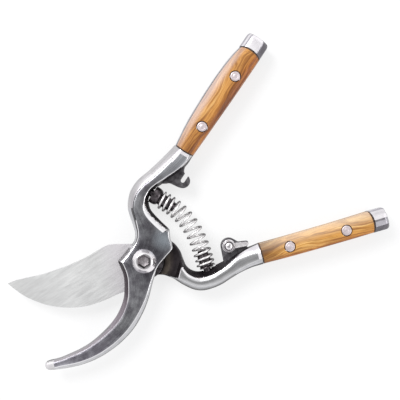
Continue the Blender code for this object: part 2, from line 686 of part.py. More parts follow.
def spring_solid(per_turn=14, sides=6):
    pts = spring_line()
    lengths = [0.0]
    for p, q in zip(pts, pts[1:]):
        lengths.append(lengths[-1] + (q - p).length)
    total = lengths[-1]

    def at(s):
        s = max(0.0, min(total, s))
        k = 0
        while k < len(lengths) - 2 and lengths[k + 1] < s:
            k += 1
        t = (s - lengths[k]) / (lengths[k + 1] - lengths[k])
        p = pts[k].lerp(pts[k + 1], t)
        d = (pts[min(k + 2, len(pts) - 1)] - pts[max(k - 1, 0)]).normalized()
        return p, d

    steps = SPRING_TURNS * per_turn

    def run_at(i):
        u = i / steps
        return total * (u - SPRING_SPREAD * math.sin(2 * math.pi * u) / (2 * math.pi))

    line = []
    for i in range(steps + 1):
        turns = i / per_turn
        p, d = at(run_at(i))
        side = Vector((-d.y, d.x, 0.0))
        a = 2 * math.pi * turns
        r = side * math.cos(a) + Vector((0, 0, 1)) * math.sin(a)
        line.append(p + Vector((0, 0, MID_Z)) + r * SPRING_MEAN_R)
    rings = []
    for i, p in enumerate(line):
        along = (line[min(i + 1, steps)] - line[max(i - 1, 0)]).normalized()
        centre, d = at(run_at(i))
        out = (p - (centre + Vector((0, 0, MID_Z)))).normalized()
        out = (out - along * out.dot(along)).normalized()
        up = along.cross(out)
        rings.append([p + out * WIRE_R * math.cos(2 * math.pi * k / sides) + up * WIRE_R * math.sin(2 * math.pi * k / sides) for k in range(sides)])
    return loft(rings)


add("coil_spring", spring_solid(), None, SPRING_STEEL)
bpy.context.view_layer.update()
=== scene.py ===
# Looks for the pruning shears: fine meshes, materials, floor, light and camera,
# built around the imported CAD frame.
import json
import math

import bmesh
import bpy
from mathutils import Matrix, Vector

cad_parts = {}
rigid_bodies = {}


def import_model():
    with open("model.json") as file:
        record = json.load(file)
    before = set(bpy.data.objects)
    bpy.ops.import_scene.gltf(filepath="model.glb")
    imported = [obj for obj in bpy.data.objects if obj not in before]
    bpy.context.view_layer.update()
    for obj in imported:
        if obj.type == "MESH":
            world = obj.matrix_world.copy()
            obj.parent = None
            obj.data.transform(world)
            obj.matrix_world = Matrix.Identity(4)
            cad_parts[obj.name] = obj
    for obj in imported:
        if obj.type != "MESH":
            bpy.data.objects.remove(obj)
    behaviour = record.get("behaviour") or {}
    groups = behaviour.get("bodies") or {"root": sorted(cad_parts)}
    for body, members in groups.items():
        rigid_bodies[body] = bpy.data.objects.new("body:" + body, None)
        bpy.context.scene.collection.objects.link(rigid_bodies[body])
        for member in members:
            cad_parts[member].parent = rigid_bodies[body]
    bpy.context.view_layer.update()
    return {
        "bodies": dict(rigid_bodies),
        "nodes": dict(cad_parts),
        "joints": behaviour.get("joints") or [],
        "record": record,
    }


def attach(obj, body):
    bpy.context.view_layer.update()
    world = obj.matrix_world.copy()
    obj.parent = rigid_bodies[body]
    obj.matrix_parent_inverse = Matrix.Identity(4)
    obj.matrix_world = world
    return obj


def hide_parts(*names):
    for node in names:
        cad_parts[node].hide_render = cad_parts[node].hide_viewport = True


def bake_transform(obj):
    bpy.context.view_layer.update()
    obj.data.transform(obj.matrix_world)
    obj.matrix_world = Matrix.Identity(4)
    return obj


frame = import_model()
nodes = frame["nodes"]

MM = 0.001
HALF_OPEN = math.radians(20.35)
VIEW_TURN = math.radians(-36.25)      # the photograph's right, measured from +X

# The same numbers as in the CAD model, in millimetres.
HANDLE_THICK, MID_Z, TANG_HALF, GAP = 15.0, 7.5, 1.8, 0.3
BLADE_TOP_Z, BLADE_THICK, HOOK_UNDER_Z = 9.25, 2.25, 9.55
SEAT_BACK_Z, SEAT_TOP_Z, EAR_TOP_Z, HOOK_TOP_Z = 4.0, 6.7, 8.9, 14.2
RIVET_X, RIVET_R = {"hook": (74.6, 105.8), "blade": (74.6, 105.1)}, 2.6
BUTT_X = {"hook": 120.5, "blade": 119.2}
RIVET_Y = {"hook": 13.4, "blade": -13.4}
PEG_X = {"hook": 31.4, "blade": 30.1}
LATCH_AT = (44.3, -4.6)
LATCH_LIE = math.radians(-7.0)
TOE = (-8.7, -5.1)

FRAMES = {
    "hook": Matrix.Rotation(HALF_OPEN, 4, "Z"),
    "blade": Matrix.Rotation(-HALF_OPEN, 4, "Z"),
}
FRAMES["latch"] = FRAMES["blade"] @ Matrix.Translation((*LATCH_AT, 0)) @ Matrix.Rotation(LATCH_LIE, 4, "Z")
BODY = {"hook": "hook_arm", "blade": "blade_arm", "latch": "latch"}

# ------------------------------------------------------------------ camera
camera_data = bpy.data.cameras.new("camera")
camera_data.lens = 85.0
camera_data.sensor_width = 36.0
camera_data.clip_start = 0.01
camera = bpy.data.objects.new("camera", camera_data)
camera.location = (0.0420, 0.0085, 0.012 + 0.4911)
camera.rotation_euler = (0.0, 0.0, VIEW_TURN)
bpy.context.scene.collection.objects.link(camera)
bpy.context.scene.camera = camera


# ------------------------------------------------------------------ materials
class Nodes:
    """A small helper round one material's node tree."""

    def __init__(self, name):
        self.mat = bpy.data.materials.new(name)
        self.mat.use_nodes = True
        self.tree = self.mat.node_tree
        self.bsdf = self.tree.nodes["Principled BSDF"]

    def add(self, kind, **props):
        node = self.tree.nodes.new(kind)
        for key, value in props.items():
            setattr(node, key, value)
        return node

    def link(self, a, b):
        self.tree.links.new(a, b)

    def coords(self, source="Object", turn=0.0, scale=(1, 1, 1)):
        where = self.add("ShaderNodeTexCoord")
        out = where.outputs[source]
        if turn:
            spin = self.add("ShaderNodeMapping")
            spin.inputs["Rotation"].default_value = (0, 0, turn)
            self.link(out, spin.inputs["Vector"])
            out = spin.outputs["Vector"]
        size = self.add("ShaderNodeMapping")
        size.inputs["Scale"].default_value = scale
        self.link(out, size.inputs["Vector"])
        return size.outputs["Vector"]

    def noise(self, vector, scale=1.0, detail=4.0, rough=0.55, distortion=0.0):
        node = self.add("ShaderNodeTexNoise")
        node.inputs["Scale"].default_value = scale
        node.inputs["Detail"].default_value = detail
        node.inputs["Roughness"].default_value = rough
        node.inputs["Distortion"].default_value = distortion
        self.link(vector, node.inputs["Vector"])
        return node.outputs["Fac"]

    def ramp(self, fac, stops):
        node = self.add("ShaderNodeValToRGB")
        ramp = node.color_ramp
        while len(ramp.elements) < len(stops):
            ramp.elements.new(0.5)
        for element, (at, colour) in zip(ramp.elements, stops):
            element.position = at
            element.color = (*colour, 1.0) if len(colour) == 3 else colour
        self.link(fac, node.inputs["Fac"])
        return node.outputs["Color"]

    def mix(self, fac, a, b, blend="MIX"):
        node = self.add("ShaderNodeMix", data_type="RGBA", blend_type=blend)
        for socket, value in ((node.inputs[0], fac), (node.inputs[6], a), (node.inputs[7], b)):
            if hasattr(value, "is_output"):
                self.link(value, socket)
            elif isinstance(value, (int, float)):
                socket.default_value = value
            else:
                socket.default_value = (*value, 1.0)
        return node.outputs[2]

    def span(self, value, lo, hi, to_lo, to_hi):
        node = self.add("ShaderNodeMapRange")
        node.inputs["From Min"].default_value = lo
        node.inputs["From Max"].default_value = hi
        node.inputs["To Min"].default_value = to_lo
        node.inputs["To Max"].default_value = to_hi
        self.link(value, node.inputs["Value"])
        return node.outputs["Result"]

    def bump(self, height, strength, distance=0.0001):
        node = self.add("ShaderNodeBump")
        node.inputs["Strength"].default_value = strength
        node.inputs["Distance"].default_value = distance
        self.link(height, node.inputs["Height"])
        self.link(node.outputs["Normal"], self.bsdf.inputs["Normal"])


def steel(name, dark, light, rough, metallic=1.0, along=(60, 1400, 400), source="Object", turn=0.0,
          mottle=18.0, mottle_share=0.5, bump=0.08, spread=(0.3, 0.7)):
    """Ground or polished steel: fine grinding streaks over slow mottling."""
    n = Nodes(name)
    b = n.bsdf
    b.inputs["Metallic"].default_value = metallic
    streaks = n.noise(n.coords(source, turn, along), 1.0, 5.0, 0.6)
    slow = n.noise(n.coords(), mottle * 10, 3.0, 0.6)
    both = n.mix(mottle_share, streaks, slow)
    colour = n.ramp(both, [(spread[0], dark), (spread[1], light)])
    n.link(colour, b.inputs["Base Color"])
    n.link(n.span(streaks, 0.25, 0.75, rough[0], rough[1]), b.inputs["Roughness"])
    n.bump(streaks, bump)
    return n.mat


def plain_steel(name, dark, light, rough, metallic=1.0, scale=400.0, bump=0.05):
    n = Nodes(name)
    n.bsdf.inputs["Metallic"].default_value = metallic
    spots = n.noise(n.coords(), scale, 6.0, 0.6)
    n.link(n.ramp(spots, [(0.3, dark), (0.7, light)]), n.bsdf.inputs["Base Color"])
    n.link(n.span(spots, 0.25, 0.75, rough[0], rough[1]), n.bsdf.inputs["Roughness"])
    n.bump(spots, bump)
    return n.mat


def top_steel():
    """Satin forged top: cloudy grey with faint grinding lines, stepped lighter and darker along the lever as painted
    light and shade, with a painted pale bluish reflection beside the pivot and a painted paler sheen at the handle
    end."""
    n = Nodes("steel_top")
    n.bsdf.inputs["Metallic"].default_value = 1.0
    streaks = n.noise(n.coords("UV", 0.0, (70, 2100, 1)), 1.0, 5.0, 0.65)
    cloud = n.noise(n.coords(), 230.0, 6.0, 0.7)
    broad = n.noise(n.coords(), 60.0, 3.0, 0.5)
    both = n.mix(0.4, n.mix(0.22, cloud, streaks), broad)
    colour = n.ramp(both, [(0.36, (0.13, 0.12, 0.14)), (0.48, (0.24, 0.24, 0.255)), (0.60, (0.42, 0.43, 0.44))])
    where = n.coords("Object", -HALF_OPEN)
    frame = n.add("ShaderNodeSeparateXYZ")
    n.link(where, frame.inputs[0])
    # Painted light and shade: the top's brightness stepped along the lever.
    colour = n.mix(1.0, colour, n.ramp(n.span(frame.outputs["X"], -0.075, 0.045, 0.0, 1.0), [
        (0.0, (1.45, 1.40, 1.52)), (0.22, (1.42, 1.37, 1.46)), (0.34, (1.05, 1.04, 1.05)), (0.46, (1.26, 1.24, 1.26)), (0.54, (1.15, 1.13, 1.16)),
        (0.60, (0.62, 0.60, 0.64)), (0.69, (0.60, 0.58, 0.62)), (0.76, (1.02, 1.01, 1.03)), (0.90, (1.22, 1.20, 1.22)), (1.0, (1.05, 1.05, 1.06)),
    ]), "MULTIPLY")
    # Painted reflection: a pale bluish patch beside the pivot.
    off = n.add("ShaderNodeVectorMath", operation="DISTANCE")
    n.link(where, off.inputs[0])
    off.inputs[1].default_value = (0.0150, -0.0022, 0.0142)
    painted_bluish_reflection = n.span(off.outputs["Value"], 0.0015, 0.0070, 0.75, 0.0)
    colour = n.mix(painted_bluish_reflection, colour, (0.56, 0.62, 0.68))
    # Painted sheen: the top turns paler towards the handle end.
    split = n.add("ShaderNodeSeparateXYZ")
    n.link(where, split.inputs[0])
    colour = n.mix(n.span(split.outputs["X"], 0.036, 0.056, 0.0, 0.85), colour, (0.72, 0.74, 0.78))
    n.link(colour, n.bsdf.inputs["Base Color"])
    n.link(n.span(streaks, 0.25, 0.75, 0.20, 0.36), n.bsdf.inputs["Roughness"])
    n.bump(streaks, 0.07)
    return n.mat


def inner_wall():
    """Cutting side of the hook: lilac grey to the tip, darkened to near-black towards the beak as painted shade."""
    n = Nodes("steel_hook_inner")
    n.bsdf.inputs["Metallic"].default_value = 0.9
    where = n.coords("Object", -HALF_OPEN)
    split = n.add("ShaderNodeSeparateXYZ")
    n.link(where, split.inputs[0])
    along = n.span(split.outputs["X"], -0.075, -0.007, 0.0, 1.0)
    slow = n.noise(n.coords("UV", 0.0, (120, 900, 1)), 1.0, 4.0)
    # Painted shade: the wall darkens to near-black towards the beak.
    shade = n.ramp(along, [(0.0, (0.50, 0.48, 0.50)), (0.50, (0.40, 0.36, 0.40)), (0.74, (0.27, 0.23, 0.26)), (0.82, (0.10, 0.078, 0.092)), (0.94, (0.05, 0.036, 0.044)), (1.0, (0.012, 0.01, 0.012))])
    n.link(n.mix(0.6, shade, n.ramp(slow, [(0.3, (0.55, 0.53, 0.55)), (0.7, (1.0, 1.0, 1.0))]), "MULTIPLY"), n.bsdf.inputs["Base Color"])
    n.link(n.span(slow, 0.2, 0.8, 0.28, 0.48), n.bsdf.inputs["Roughness"])
    n.bump(slow, 0.15)
    return n.mat


def recess_steel():
    """Brownish recess round the blade's root; the black rings at its inner edge and beyond it are painted shade."""
    n = Nodes("steel_recess")
    n.bsdf.inputs["Metallic"].default_value = 0.7
    where = n.add("ShaderNodeTexCoord").outputs["Object"]
    flat = n.add("ShaderNodeMapping")
    flat.inputs["Scale"].default_value = (1, 1, 0)
    n.link(where, flat.inputs["Vector"])
    far = n.add("ShaderNodeVectorMath", operation="LENGTH")
    n.link(flat.outputs["Vector"], far.inputs[0])
    slow = n.noise(n.coords(), 260.0, 5.0, 0.65)
    # Painted shade: near-black rings at the recess edge and on the wall beyond it, brown between.
    rings = n.ramp(n.span(far.outputs["Value"], 0.010, 0.020, 0.0, 1.0), [
        (0.0, (0.07, 0.06, 0.055)), (0.05, (0.02, 0.016, 0.015)), (0.14, (0.075, 0.06, 0.05)), (0.30, (0.095, 0.08, 0.066)),
        (0.38, (0.05, 0.04, 0.038)), (0.55, (0.022, 0.017, 0.02)), (1.0, (0.016, 0.012, 0.015)),
    ])
    n.link(n.mix(0.7, rings, n.ramp(slow, [(0.3, (0.30, 0.28, 0.27)), (0.72, (1.4, 1.38, 1.36))]), "MULTIPLY"), n.bsdf.inputs["Base Color"])
    n.link(n.span(slow, 0.2, 0.8, 0.35, 0.6), n.bsdf.inputs["Roughness"])
    n.bump(slow, 0.3)
    return n.mat


def blade_steel():
    """Satin ground blade: fine brushing across it."""
    n = Nodes("steel_blade")
    n.bsdf.inputs["Metallic"].default_value = 0.72
    turn = math.radians(36.25 - 32)
    fine = n.noise(n.coords("Object", turn, (140, 2600, 600)), 1.0, 6.0, 0.65)
    wide = n.noise(n.coords("Object", turn, (60, 420, 100)), 1.0, 4.0, 0.6)
    slow = n.noise(n.coords(), 45.0, 3.0)
    both = n.mix(0.4, n.mix(0.3, fine, wide), slow)
    tone = n.ramp(both, [(0.34, (0.56, 0.56, 0.56)), (0.66, (0.735, 0.74, 0.735))])
    where = n.coords("Object", HALF_OPEN)
    split = n.add("ShaderNodeSeparateXYZ")
    n.link(where, split.inputs[0])
    # Darker towards the tip; towards the pivot, beside the hook lever, mixed to lilac grey as painted shade.
    tone = n.mix(n.span(split.outputs["X"], -0.072, -0.040, 0.75, 0.0), tone, (0.86, 0.86, 0.86), "MULTIPLY")
    tone = n.mix(n.span(split.outputs["X"], -0.024, -0.012, 0.0, 0.6), tone, (0.66, 0.62, 0.66))
    n.link(tone, n.bsdf.inputs["Base Color"])
    n.link(n.span(fine, 0.25, 0.75, 0.34, 0.52), n.bsdf.inputs["Roughness"])
    n.bump(fine, 0.12)
    return n.mat


def wood(name, turn, shift, painted_flanks, gain, start):
    """Oiled honey-coloured hardwood with brown streaks along the handle."""
    n = Nodes(name)
    b = n.bsdf
    at = n.coords("Object", turn, (1, 1, 1))
    move = n.add("ShaderNodeMapping")
    move.inputs["Location"].default_value = shift
    n.link(at, move.inputs["Vector"])
    at = move.outputs["Vector"]

    def scaled(scale):
        m = n.add("ShaderNodeMapping")
        m.inputs["Scale"].default_value = scale
        n.link(at, m.inputs["Vector"])
        return m.outputs["Vector"]

    warp = n.noise(scaled((22, 60, 60)), 1.0, 3.0, 0.5)
    push = n.add("ShaderNodeVectorMath", operation="SCALE")
    warp_vec = n.add("ShaderNodeCombineXYZ")
    n.link(n.span(warp, 0.3, 0.7, -0.0035, 0.0035), warp_vec.inputs["Y"])
    n.link(warp_vec.outputs[0], push.inputs[0])
    push.inputs["Scale"].default_value = 1.0
    bent = n.add("ShaderNodeVectorMath", operation="ADD")
    n.link(at, bent.inputs[0])
    n.link(push.outputs[0], bent.inputs[1])
    at = bent.outputs[0]
    rings = n.noise(scaled((14, 330, 330)), 1.0, 3.0, 0.6)
    fibre = n.noise(scaled((110, 2600, 2600)), 1.0, 4.0, 0.7)
    blotch = n.noise(scaled((30, 95, 95)), 1.0, 3.0, 0.6)
    pores = n.noise(scaled((260, 3400, 3400)), 1.0, 2.0, 0.5)
    base = n.ramp(rings, [
        (0.30, (0.20, 0.075, 0.014)), (0.40, (0.36, 0.155, 0.033)), (0.48, (0.52, 0.265, 0.075)), (0.56, (0.42, 0.19, 0.042)), (0.64, (0.58, 0.33, 0.115)), (0.74, (0.66, 0.42, 0.18)),
    ])
    tone = n.ramp(blotch, [(0.32, (0.55, 0.42, 0.28)), (0.48, (0.95, 0.93, 0.90)), (0.70, (1.12, 1.12, 1.10))])
    colour = n.mix(0.85, base, tone, "MULTIPLY")
    colour = n.mix(0.5, colour, n.ramp(fibre, [(0.35, (0.50, 0.38, 0.26)), (0.60, (1.06, 1.04, 1.0))]), "MULTIPLY")
    dark = n.ramp(pores, [(0.60, (1, 1, 1)), (0.74, (0.42, 0.27, 0.14))])
    colour = n.mix(0.6, colour, dark, "MULTIPLY")
    streak = n.noise(scaled((34, 760, 760)), 1.0, 4.0, 0.6)
    colour = n.mix(0.75, colour, n.ramp(streak, [(0.36, (0.42, 0.27, 0.13)), (0.47, (0.92, 0.88, 0.80)), (0.62, (1.16, 1.16, 1.12))]), "MULTIPLY")
    split = n.add("ShaderNodeSeparateXYZ")
    n.link(n.coords("Object", turn, (1, 1, 1)), split.inputs[0])
    # Painted light across the handle: one long flank is mixed towards a pale colour as painted sheen, the other is
    # darkened brown as painted shade.
    painted_sheen, deep = painted_flanks
    colour = n.mix(n.span(split.outputs["Y"], painted_sheen[0], painted_sheen[1], 0.0, painted_sheen[2]), colour, painted_sheen[3])
    colour = n.mix(n.span(split.outputs["Y"], deep[0], deep[1], 0.0, 0.8), colour, (0.82, 0.50, 0.14), "MULTIPLY")
    colour = n.mix(1.0, colour, gain, "MULTIPLY")
    # Darker start of the wood by the bolster: painted shade over the dark grain there.
    colour = n.mix(n.span(split.outputs["X"], 0.0600, 0.0740, start, 0.0), colour, (0.40, 0.37, 0.33), "MULTIPLY")
    n.link(colour, b.inputs["Base Color"])
    b.inputs["Metallic"].default_value = 0.0
    b.inputs["Coat Weight"].default_value = 0.16
    b.inputs["Specular IOR Level"].default_value = 0.35
    b.inputs["Coat Roughness"].default_value = 0.22
    n.link(n.span(fibre, 0.25, 0.75, 0.38, 0.6), b.inputs["Roughness"])
    n.bump(fibre, 0.25)
    return n.mat


# Lever steels: many entries are copies of one polished steel, painted lighter or darker per facet as painted highlight
# and painted shade.
M = {
    "top": top_steel(),
    "bevel": steel("steel_bevel", (0.40, 0.40, 0.42), (0.62, 0.62, 0.64), (0.20, 0.34), along=(40, 500, 1), source="UV"),
    # Painted highlight: near-white steel for the narrow edge strips.
    "edge": plain_steel("steel_edge_painted_highlight", (0.88, 0.87, 0.89), (0.97, 0.96, 0.97), (0.12, 0.22)),
    # Near-black as-forged steel of the side walls, together with painted shade.
    "wall": plain_steel("steel_as_forged_with_painted_shade", (0.010, 0.008, 0.010), (0.045, 0.038, 0.043), (0.36, 0.58), 0.75, 500.0, 0.35),
    "inner": inner_wall(),
    # Painted sheen: a lighter copy of the top steel for the blade lever.
    "light_top": steel("steel_light_top", (0.50, 0.50, 0.51), (0.76, 0.76, 0.77), (0.18, 0.32), along=(35, 500, 1), source="UV"),
    "recess": recess_steel(),
    "butt": plain_steel("steel_butt", (0.34, 0.33, 0.36), (0.56, 0.54, 0.58), (0.18, 0.30), 1.0, 160.0),
    # Painted shade: a dark copy for the butt's shaded side.
    "butt_painted_shade": plain_steel("steel_butt_side", (0.10, 0.095, 0.105), (0.20, 0.19, 0.21), (0.2, 0.34), 1.0, 200.0),
    # Painted highlight: a pale copy for the butt faces and the lit top ends.
    "butt_painted_highlight": plain_steel("steel_butt_face", (0.70, 0.675, 0.705), (0.83, 0.81, 0.83), (0.24, 0.36), 0.42, 160.0),
    # Painted highlight: a pale copy for the bright facets.
    "facet": steel("steel_facet", (0.62, 0.60, 0.63), (0.84, 0.82, 0.84), (0.22, 0.36), along=(40, 500, 1), source="UV"),
    # Painted highlight: a pale, less metallic copy for the hook's tip.
    "tip": plain_steel("steel_tip", (0.47, 0.46, 0.47), (0.60, 0.585, 0.60), (0.42, 0.55), 0.35, 260.0),
    # Painted highlight: a soft light line along the hook's edge near the tip.
    "soft_line": plain_steel("steel_soft_line", (0.30, 0.285, 0.31), (0.40, 0.38, 0.41), (0.42, 0.55), 0.35, 260.0),
    # Painted highlight: the neck's bright bevel strips.
    "neck_white": steel("steel_neck_white", (0.40, 0.385, 0.40), (0.50, 0.48, 0.50), (0.26, 0.38), along=(40, 500, 1), source="UV"),
    # Painted half shade: a mid-grey copy for some butt strips.
    "butt_grey": plain_steel("steel_butt_grey", (0.33, 0.32, 0.35), (0.45, 0.435, 0.47), (0.3, 0.42), 0.45, 160.0),
    # Painted shade: a near-black line along the neck's edge.
    "line": plain_steel("steel_line_painted_shade", (0.012, 0.012, 0.014), (0.05, 0.05, 0.055), (0.35, 0.5), 0.7, 300.0),
    # Painted light: a light grey copy for the neck's outer bevels.
    "neck_grey": steel("steel_neck_grey", (0.44, 0.43, 0.44), (0.56, 0.55, 0.56), (0.24, 0.36), along=(40, 500, 1), source="UV"),
    # Painted half shade: a darker grey copy for outlines and outer bevels.
    "outer_grey": steel("steel_outer", (0.20, 0.20, 0.205), (0.38, 0.38, 0.385), (0.22, 0.36), along=(40, 500, 1), source="UV"),
    # Painted shade: a dark copy for the outlines and the shaded outer walls.
    "outer_painted_shade": steel("steel_outer_dark", (0.07, 0.068, 0.07), (0.18, 0.178, 0.182), (0.25, 0.40), along=(40, 500, 1), source="UV"),
}
LEVER_SLOTS = ["top", "bevel", "edge", "wall", "inner", "light_top", "recess", "butt", "butt_painted_shade", "butt_painted_highlight", "outer_grey", "outer_painted_shade", "facet", "tip", "line", "neck_grey", "soft_line", "neck_white", "butt_grey"]
SLOT = {name: i for i, name in enumerate(LEVER_SLOTS)}
BLADE_MAT = blade_steel()
# Dark steel as painted shade: the blade's root under the hook lever and the groove round the latch rivet's dome.
PAINTED_SHADE_STEEL = plain_steel("steel_painted_shade", (0.05, 0.045, 0.05), (0.17, 0.155, 0.165), (0.3, 0.5), 0.9, 420.0, 0.2)
BRIGHT = plain_steel("steel_bright", (0.78, 0.75, 0.77), (0.93, 0.90, 0.92), (0.14, 0.26), 1.0, 260.0)
RIVET_MAT = plain_steel("steel_rivet", (0.52, 0.45, 0.465), (0.66, 0.585, 0.60), (0.32, 0.46), 0.55, 500.0, 0.12)
# Near-black steel for the socket walls on one side: painted shade.
SOCKET_PAINTED_SHADE = plain_steel("steel_socket", (0.006, 0.005, 0.006), (0.025, 0.022, 0.024), (0.45, 0.6), 0.3, 600.0)
SOCKET_FLOOR = plain_steel("steel_socket_floor", (0.22, 0.20, 0.21), (0.56, 0.52, 0.54), (0.3, 0.5), 0.9, 700.0, 0.3)
# Black steel of the spring pegs; the lighter end of its mottling is painted highlight on the black finish.
BLACK = plain_steel("steel_black", (0.010, 0.009, 0.010), (0.15, 0.13, 0.14), (0.20, 0.36), 0.85, 520.0, 0.2)
# Bright wire steel: the lit copy for the coil's upward faces, a painted highlight.
SPRING_MAT = plain_steel("steel_spring", (0.66, 0.645, 0.65), (0.84, 0.82, 0.82), (0.2, 0.34), 0.55, 400.0, 0.02)
# Dark copy for the wire's sideways faces: painted shade.
SPRING_FLANK_PAINTED_SHADE = plain_steel("steel_spring_flank_painted_shade", (0.07, 0.065, 0.068), (0.17, 0.16, 0.165), (0.25, 0.4), 0.9, 400.0, 0.02)
LATCH_MAT = plain_steel("steel_latch", (0.62, 0.59, 0.61), (0.92, 0.90, 0.91), (0.20, 0.34), 0.6, 300.0)
# Dark steel of the catch and latch lugs; on the latch bar's upper edge it serves as painted shade.
LUG_MAT = plain_steel("steel_lug", (0.05, 0.045, 0.05), (0.17, 0.165, 0.175), (0.32, 0.5), 0.9, 420.0, 0.3)
M["lug"] = LUG_MAT
LEVER_SLOTS.append("lug")
SLOT["lug"] = len(LEVER_SLOTS) - 1
WOOD_END = plain_steel("wood_end_grain", (0.035, 0.016, 0.007), (0.10, 0.048, 0.02), (0.5, 0.7), 0.0, 500.0, 0.3)
# Per side: grain turn and shift, the flank ranges for painted sheen and painted shade, a colour gain, and the strength
# of the painted shade at the wood's start.
WOODS = {
    "hook": wood("wood_hook_side", -HALF_OPEN, (0.013, 0.021, 0.0), ((0.0165, 0.0205, 0.62, (0.52, 0.44, 0.43)), (0.0125, 0.0090)), (1.0, 1.0, 1.0), 0.0),
    "blade": wood("wood_blade_side", HALF_OPEN, (0.31, 0.16, 0.05), ((-0.0140, -0.0078, 0.42, (0.62, 0.49, 0.38)), (-0.0155, -0.0185)), (1.20, 1.32, 1.38), 0.8),
}


# ------------------------------------------------------------------ mesh tools
def finish_mesh(name, bm, matrix, materials, smooth=28.0):
    """A bmesh drawn in millimetres in its own frame becomes an object in the row frame."""
    bmesh.ops.transform(bm, matrix=Matrix.Scale(MM, 4) @ matrix, verts=bm.verts)
    bmesh.ops.recalc_face_normals(bm, faces=bm.faces)
    mesh = bpy.data.meshes.new(name)
    bm.to_mesh(mesh)
    bm.free()
    obj = bpy.data.objects.new(name, mesh)
    bpy.context.scene.collection.objects.link(obj)
    for mat in materials:
        mesh.materials.append(mat)
    if smooth:
        mesh.shade_smooth()
        mesh.set_sharp_from_angle(angle=math.radians(smooth))
    return obj


def cut(obj, cutters, smooth=28.0, bevel=0.0):
    """Applies Booleans (and a fine bevel) and throws the cutters away."""
    for other, operation in cutters:
        mod = obj.modifiers.new("cut", "BOOLEAN")
        mod.operation = operation
        mod.solver = "EXACT"
        mod.object = other
    if bevel:
        mod = obj.modifiers.new("bevel", "BEVEL")
        mod.width = bevel * MM
        mod.segments = 2
        mod.limit_method = "ANGLE"
        mod.angle_limit = math.radians(40)
        mod.use_clamp_overlap = True
    bpy.context.view_layer.update()
    graph = bpy.context.evaluated_depsgraph_get()
    mesh = bpy.data.meshes.new_from_object(obj.evaluated_get(graph))
    old = obj.data
    obj.modifiers.clear()
    obj.data = mesh
    mesh.name = obj.name
    bpy.data.meshes.remove(old)
    for other, _ in cutters:
        data = other.data
        bpy.data.objects.remove(other, do_unlink=True)
        if not data.users:
            bpy.data.meshes.remove(data)
    mesh.shade_smooth()
    mesh.set_sharp_from_angle(angle=math.radians(smooth))
    return obj


def skin(rings, caps=True, closed=False, mats=None, uvs=None):
    """Quads through rings of equal point counts. mats(ring, strip) gives the
    material index, uvs the flow coordinates of every ring point."""
    bm = bmesh.new()
    layer = bm.loops.layers.uv.new("flow") if uvs else None
    verts = [[bm.verts.new(p) for p in ring] for ring in rings]
    n = len(verts[0])
    pairs = [(k, k + 1) for k in range(len(verts) - 1)]
    if closed:
        pairs.append((len(verts) - 1, 0))
    for a, b in pairs:
        for i in range(n):
            j = (i + 1) % n
            face = bm.faces.new((verts[a][i], verts[a][j], verts[b][j], verts[b][i]))
            if mats:
                face.material_index = mats(a, i)
            if layer:
                last = uvs[a][n] if j == 0 else uvs[a][j]
                last_b = uvs[b][n] if j == 0 else uvs[b][j]
                for loop, uv in zip(face.loops, (uvs[a][i], last, last_b, uvs[b][i])):
                    loop[layer].uv = uv
    if caps and not closed:
        first = bm.faces.new(verts[0][::-1])
        final = bm.faces.new(verts[-1])
        if mats:
            first.material_index = mats(0, 0)
            final.material_index = mats(len(verts) - 2, 0)
    return bm


def turned(profile, n=72, mats=None, ring=False):
    """Solid of revolution about Z from (radius, z) points."""
    bm = bmesh.new()
    rings = []
    for r, z in profile:
        if r < 1e-6:
            rings.append([bm.verts.new((0, 0, z))])
        else:
            rings.append([bm.verts.new((r * math.cos(2 * math.pi * i / n), r * math.sin(2 * math.pi * i / n), z)) for i in range(n)])
    pairs = list(zip(range(len(rings) - 1), range(1, len(rings))))
    if ring:
        pairs.append((len(rings) - 1, 0))
    for ka, kb in pairs:
        a, b = rings[ka], rings[kb]
        for i in range(n):
            j = (i + 1) % n
            if len(a) == 1:
                f = bm.faces.new((a[0], b[j], b[i]))
            elif len(b) == 1:
                f = bm.faces.new((a[i], a[j], b[0]))
            else:
                f = bm.faces.new((a[i], a[j], b[j], b[i]))
            if mats:
                f.material_index = mats(ka)
    return bm


def merge(*parts):
    out = bmesh.new()
    for part in parts:
        mesh = bpy.data.meshes.new("merge")
        part.to_mesh(mesh)
        part.free()
        out.from_mesh(mesh)
        bpy.data.meshes.remove(mesh)
    return out


def placed(bm, matrix):
    bmesh.ops.transform(bm, matrix=matrix, verts=bm.verts)
    return bm


def circle(cx, cy, r, n=64, start=0.0):
    return [(cx + r * math.cos(start + 2 * math.pi * i / n), cy + r * math.sin(start + 2 * math.pi * i / n)) for i in range(n)]


def offset(outline, d):
    """Outline moved inwards by d (for d > 0 on a counter-clockwise outline)."""
    out = []
    n = len(outline)
    for i in range(n):
        p0, p1, p2 = Vector(outline[i - 1]), Vector(outline[i]), Vector(outline[(i + 1) % n])
        a, b = (p1 - p0), (p2 - p1)
        if a.length < 1e-9 or b.length < 1e-9:
            out.append(tuple(p1))
            continue
        na, nb = Vector((-a.y, a.x)).normalized(), Vector((-b.y, b.x)).normalized()
        m = na + nb
        if m.length < 1e-6:
            m = na
        m.normalize()
        scale = min(1.0 / max(m.dot(na), 0.5), 1.6)
        q = p1 + m * d * scale
        out.append((q.x, q.y))
    return out


def area(outline):
    return 0.5 * sum(a[0] * b[1] - b[0] * a[1] for a, b in zip(outline, outline[1:] + outline[:1]))


def ccw(outline):
    return outline if area(outline) > 0 else outline[::-1]


def prism(outline, z0, z1, mat=0):
    outline = ccw(outline)
    bm = skin([[(x, y, z0) for x, y in outline], [(x, y, z1) for x, y in outline]], mats=lambda a, i: mat)
    return bm


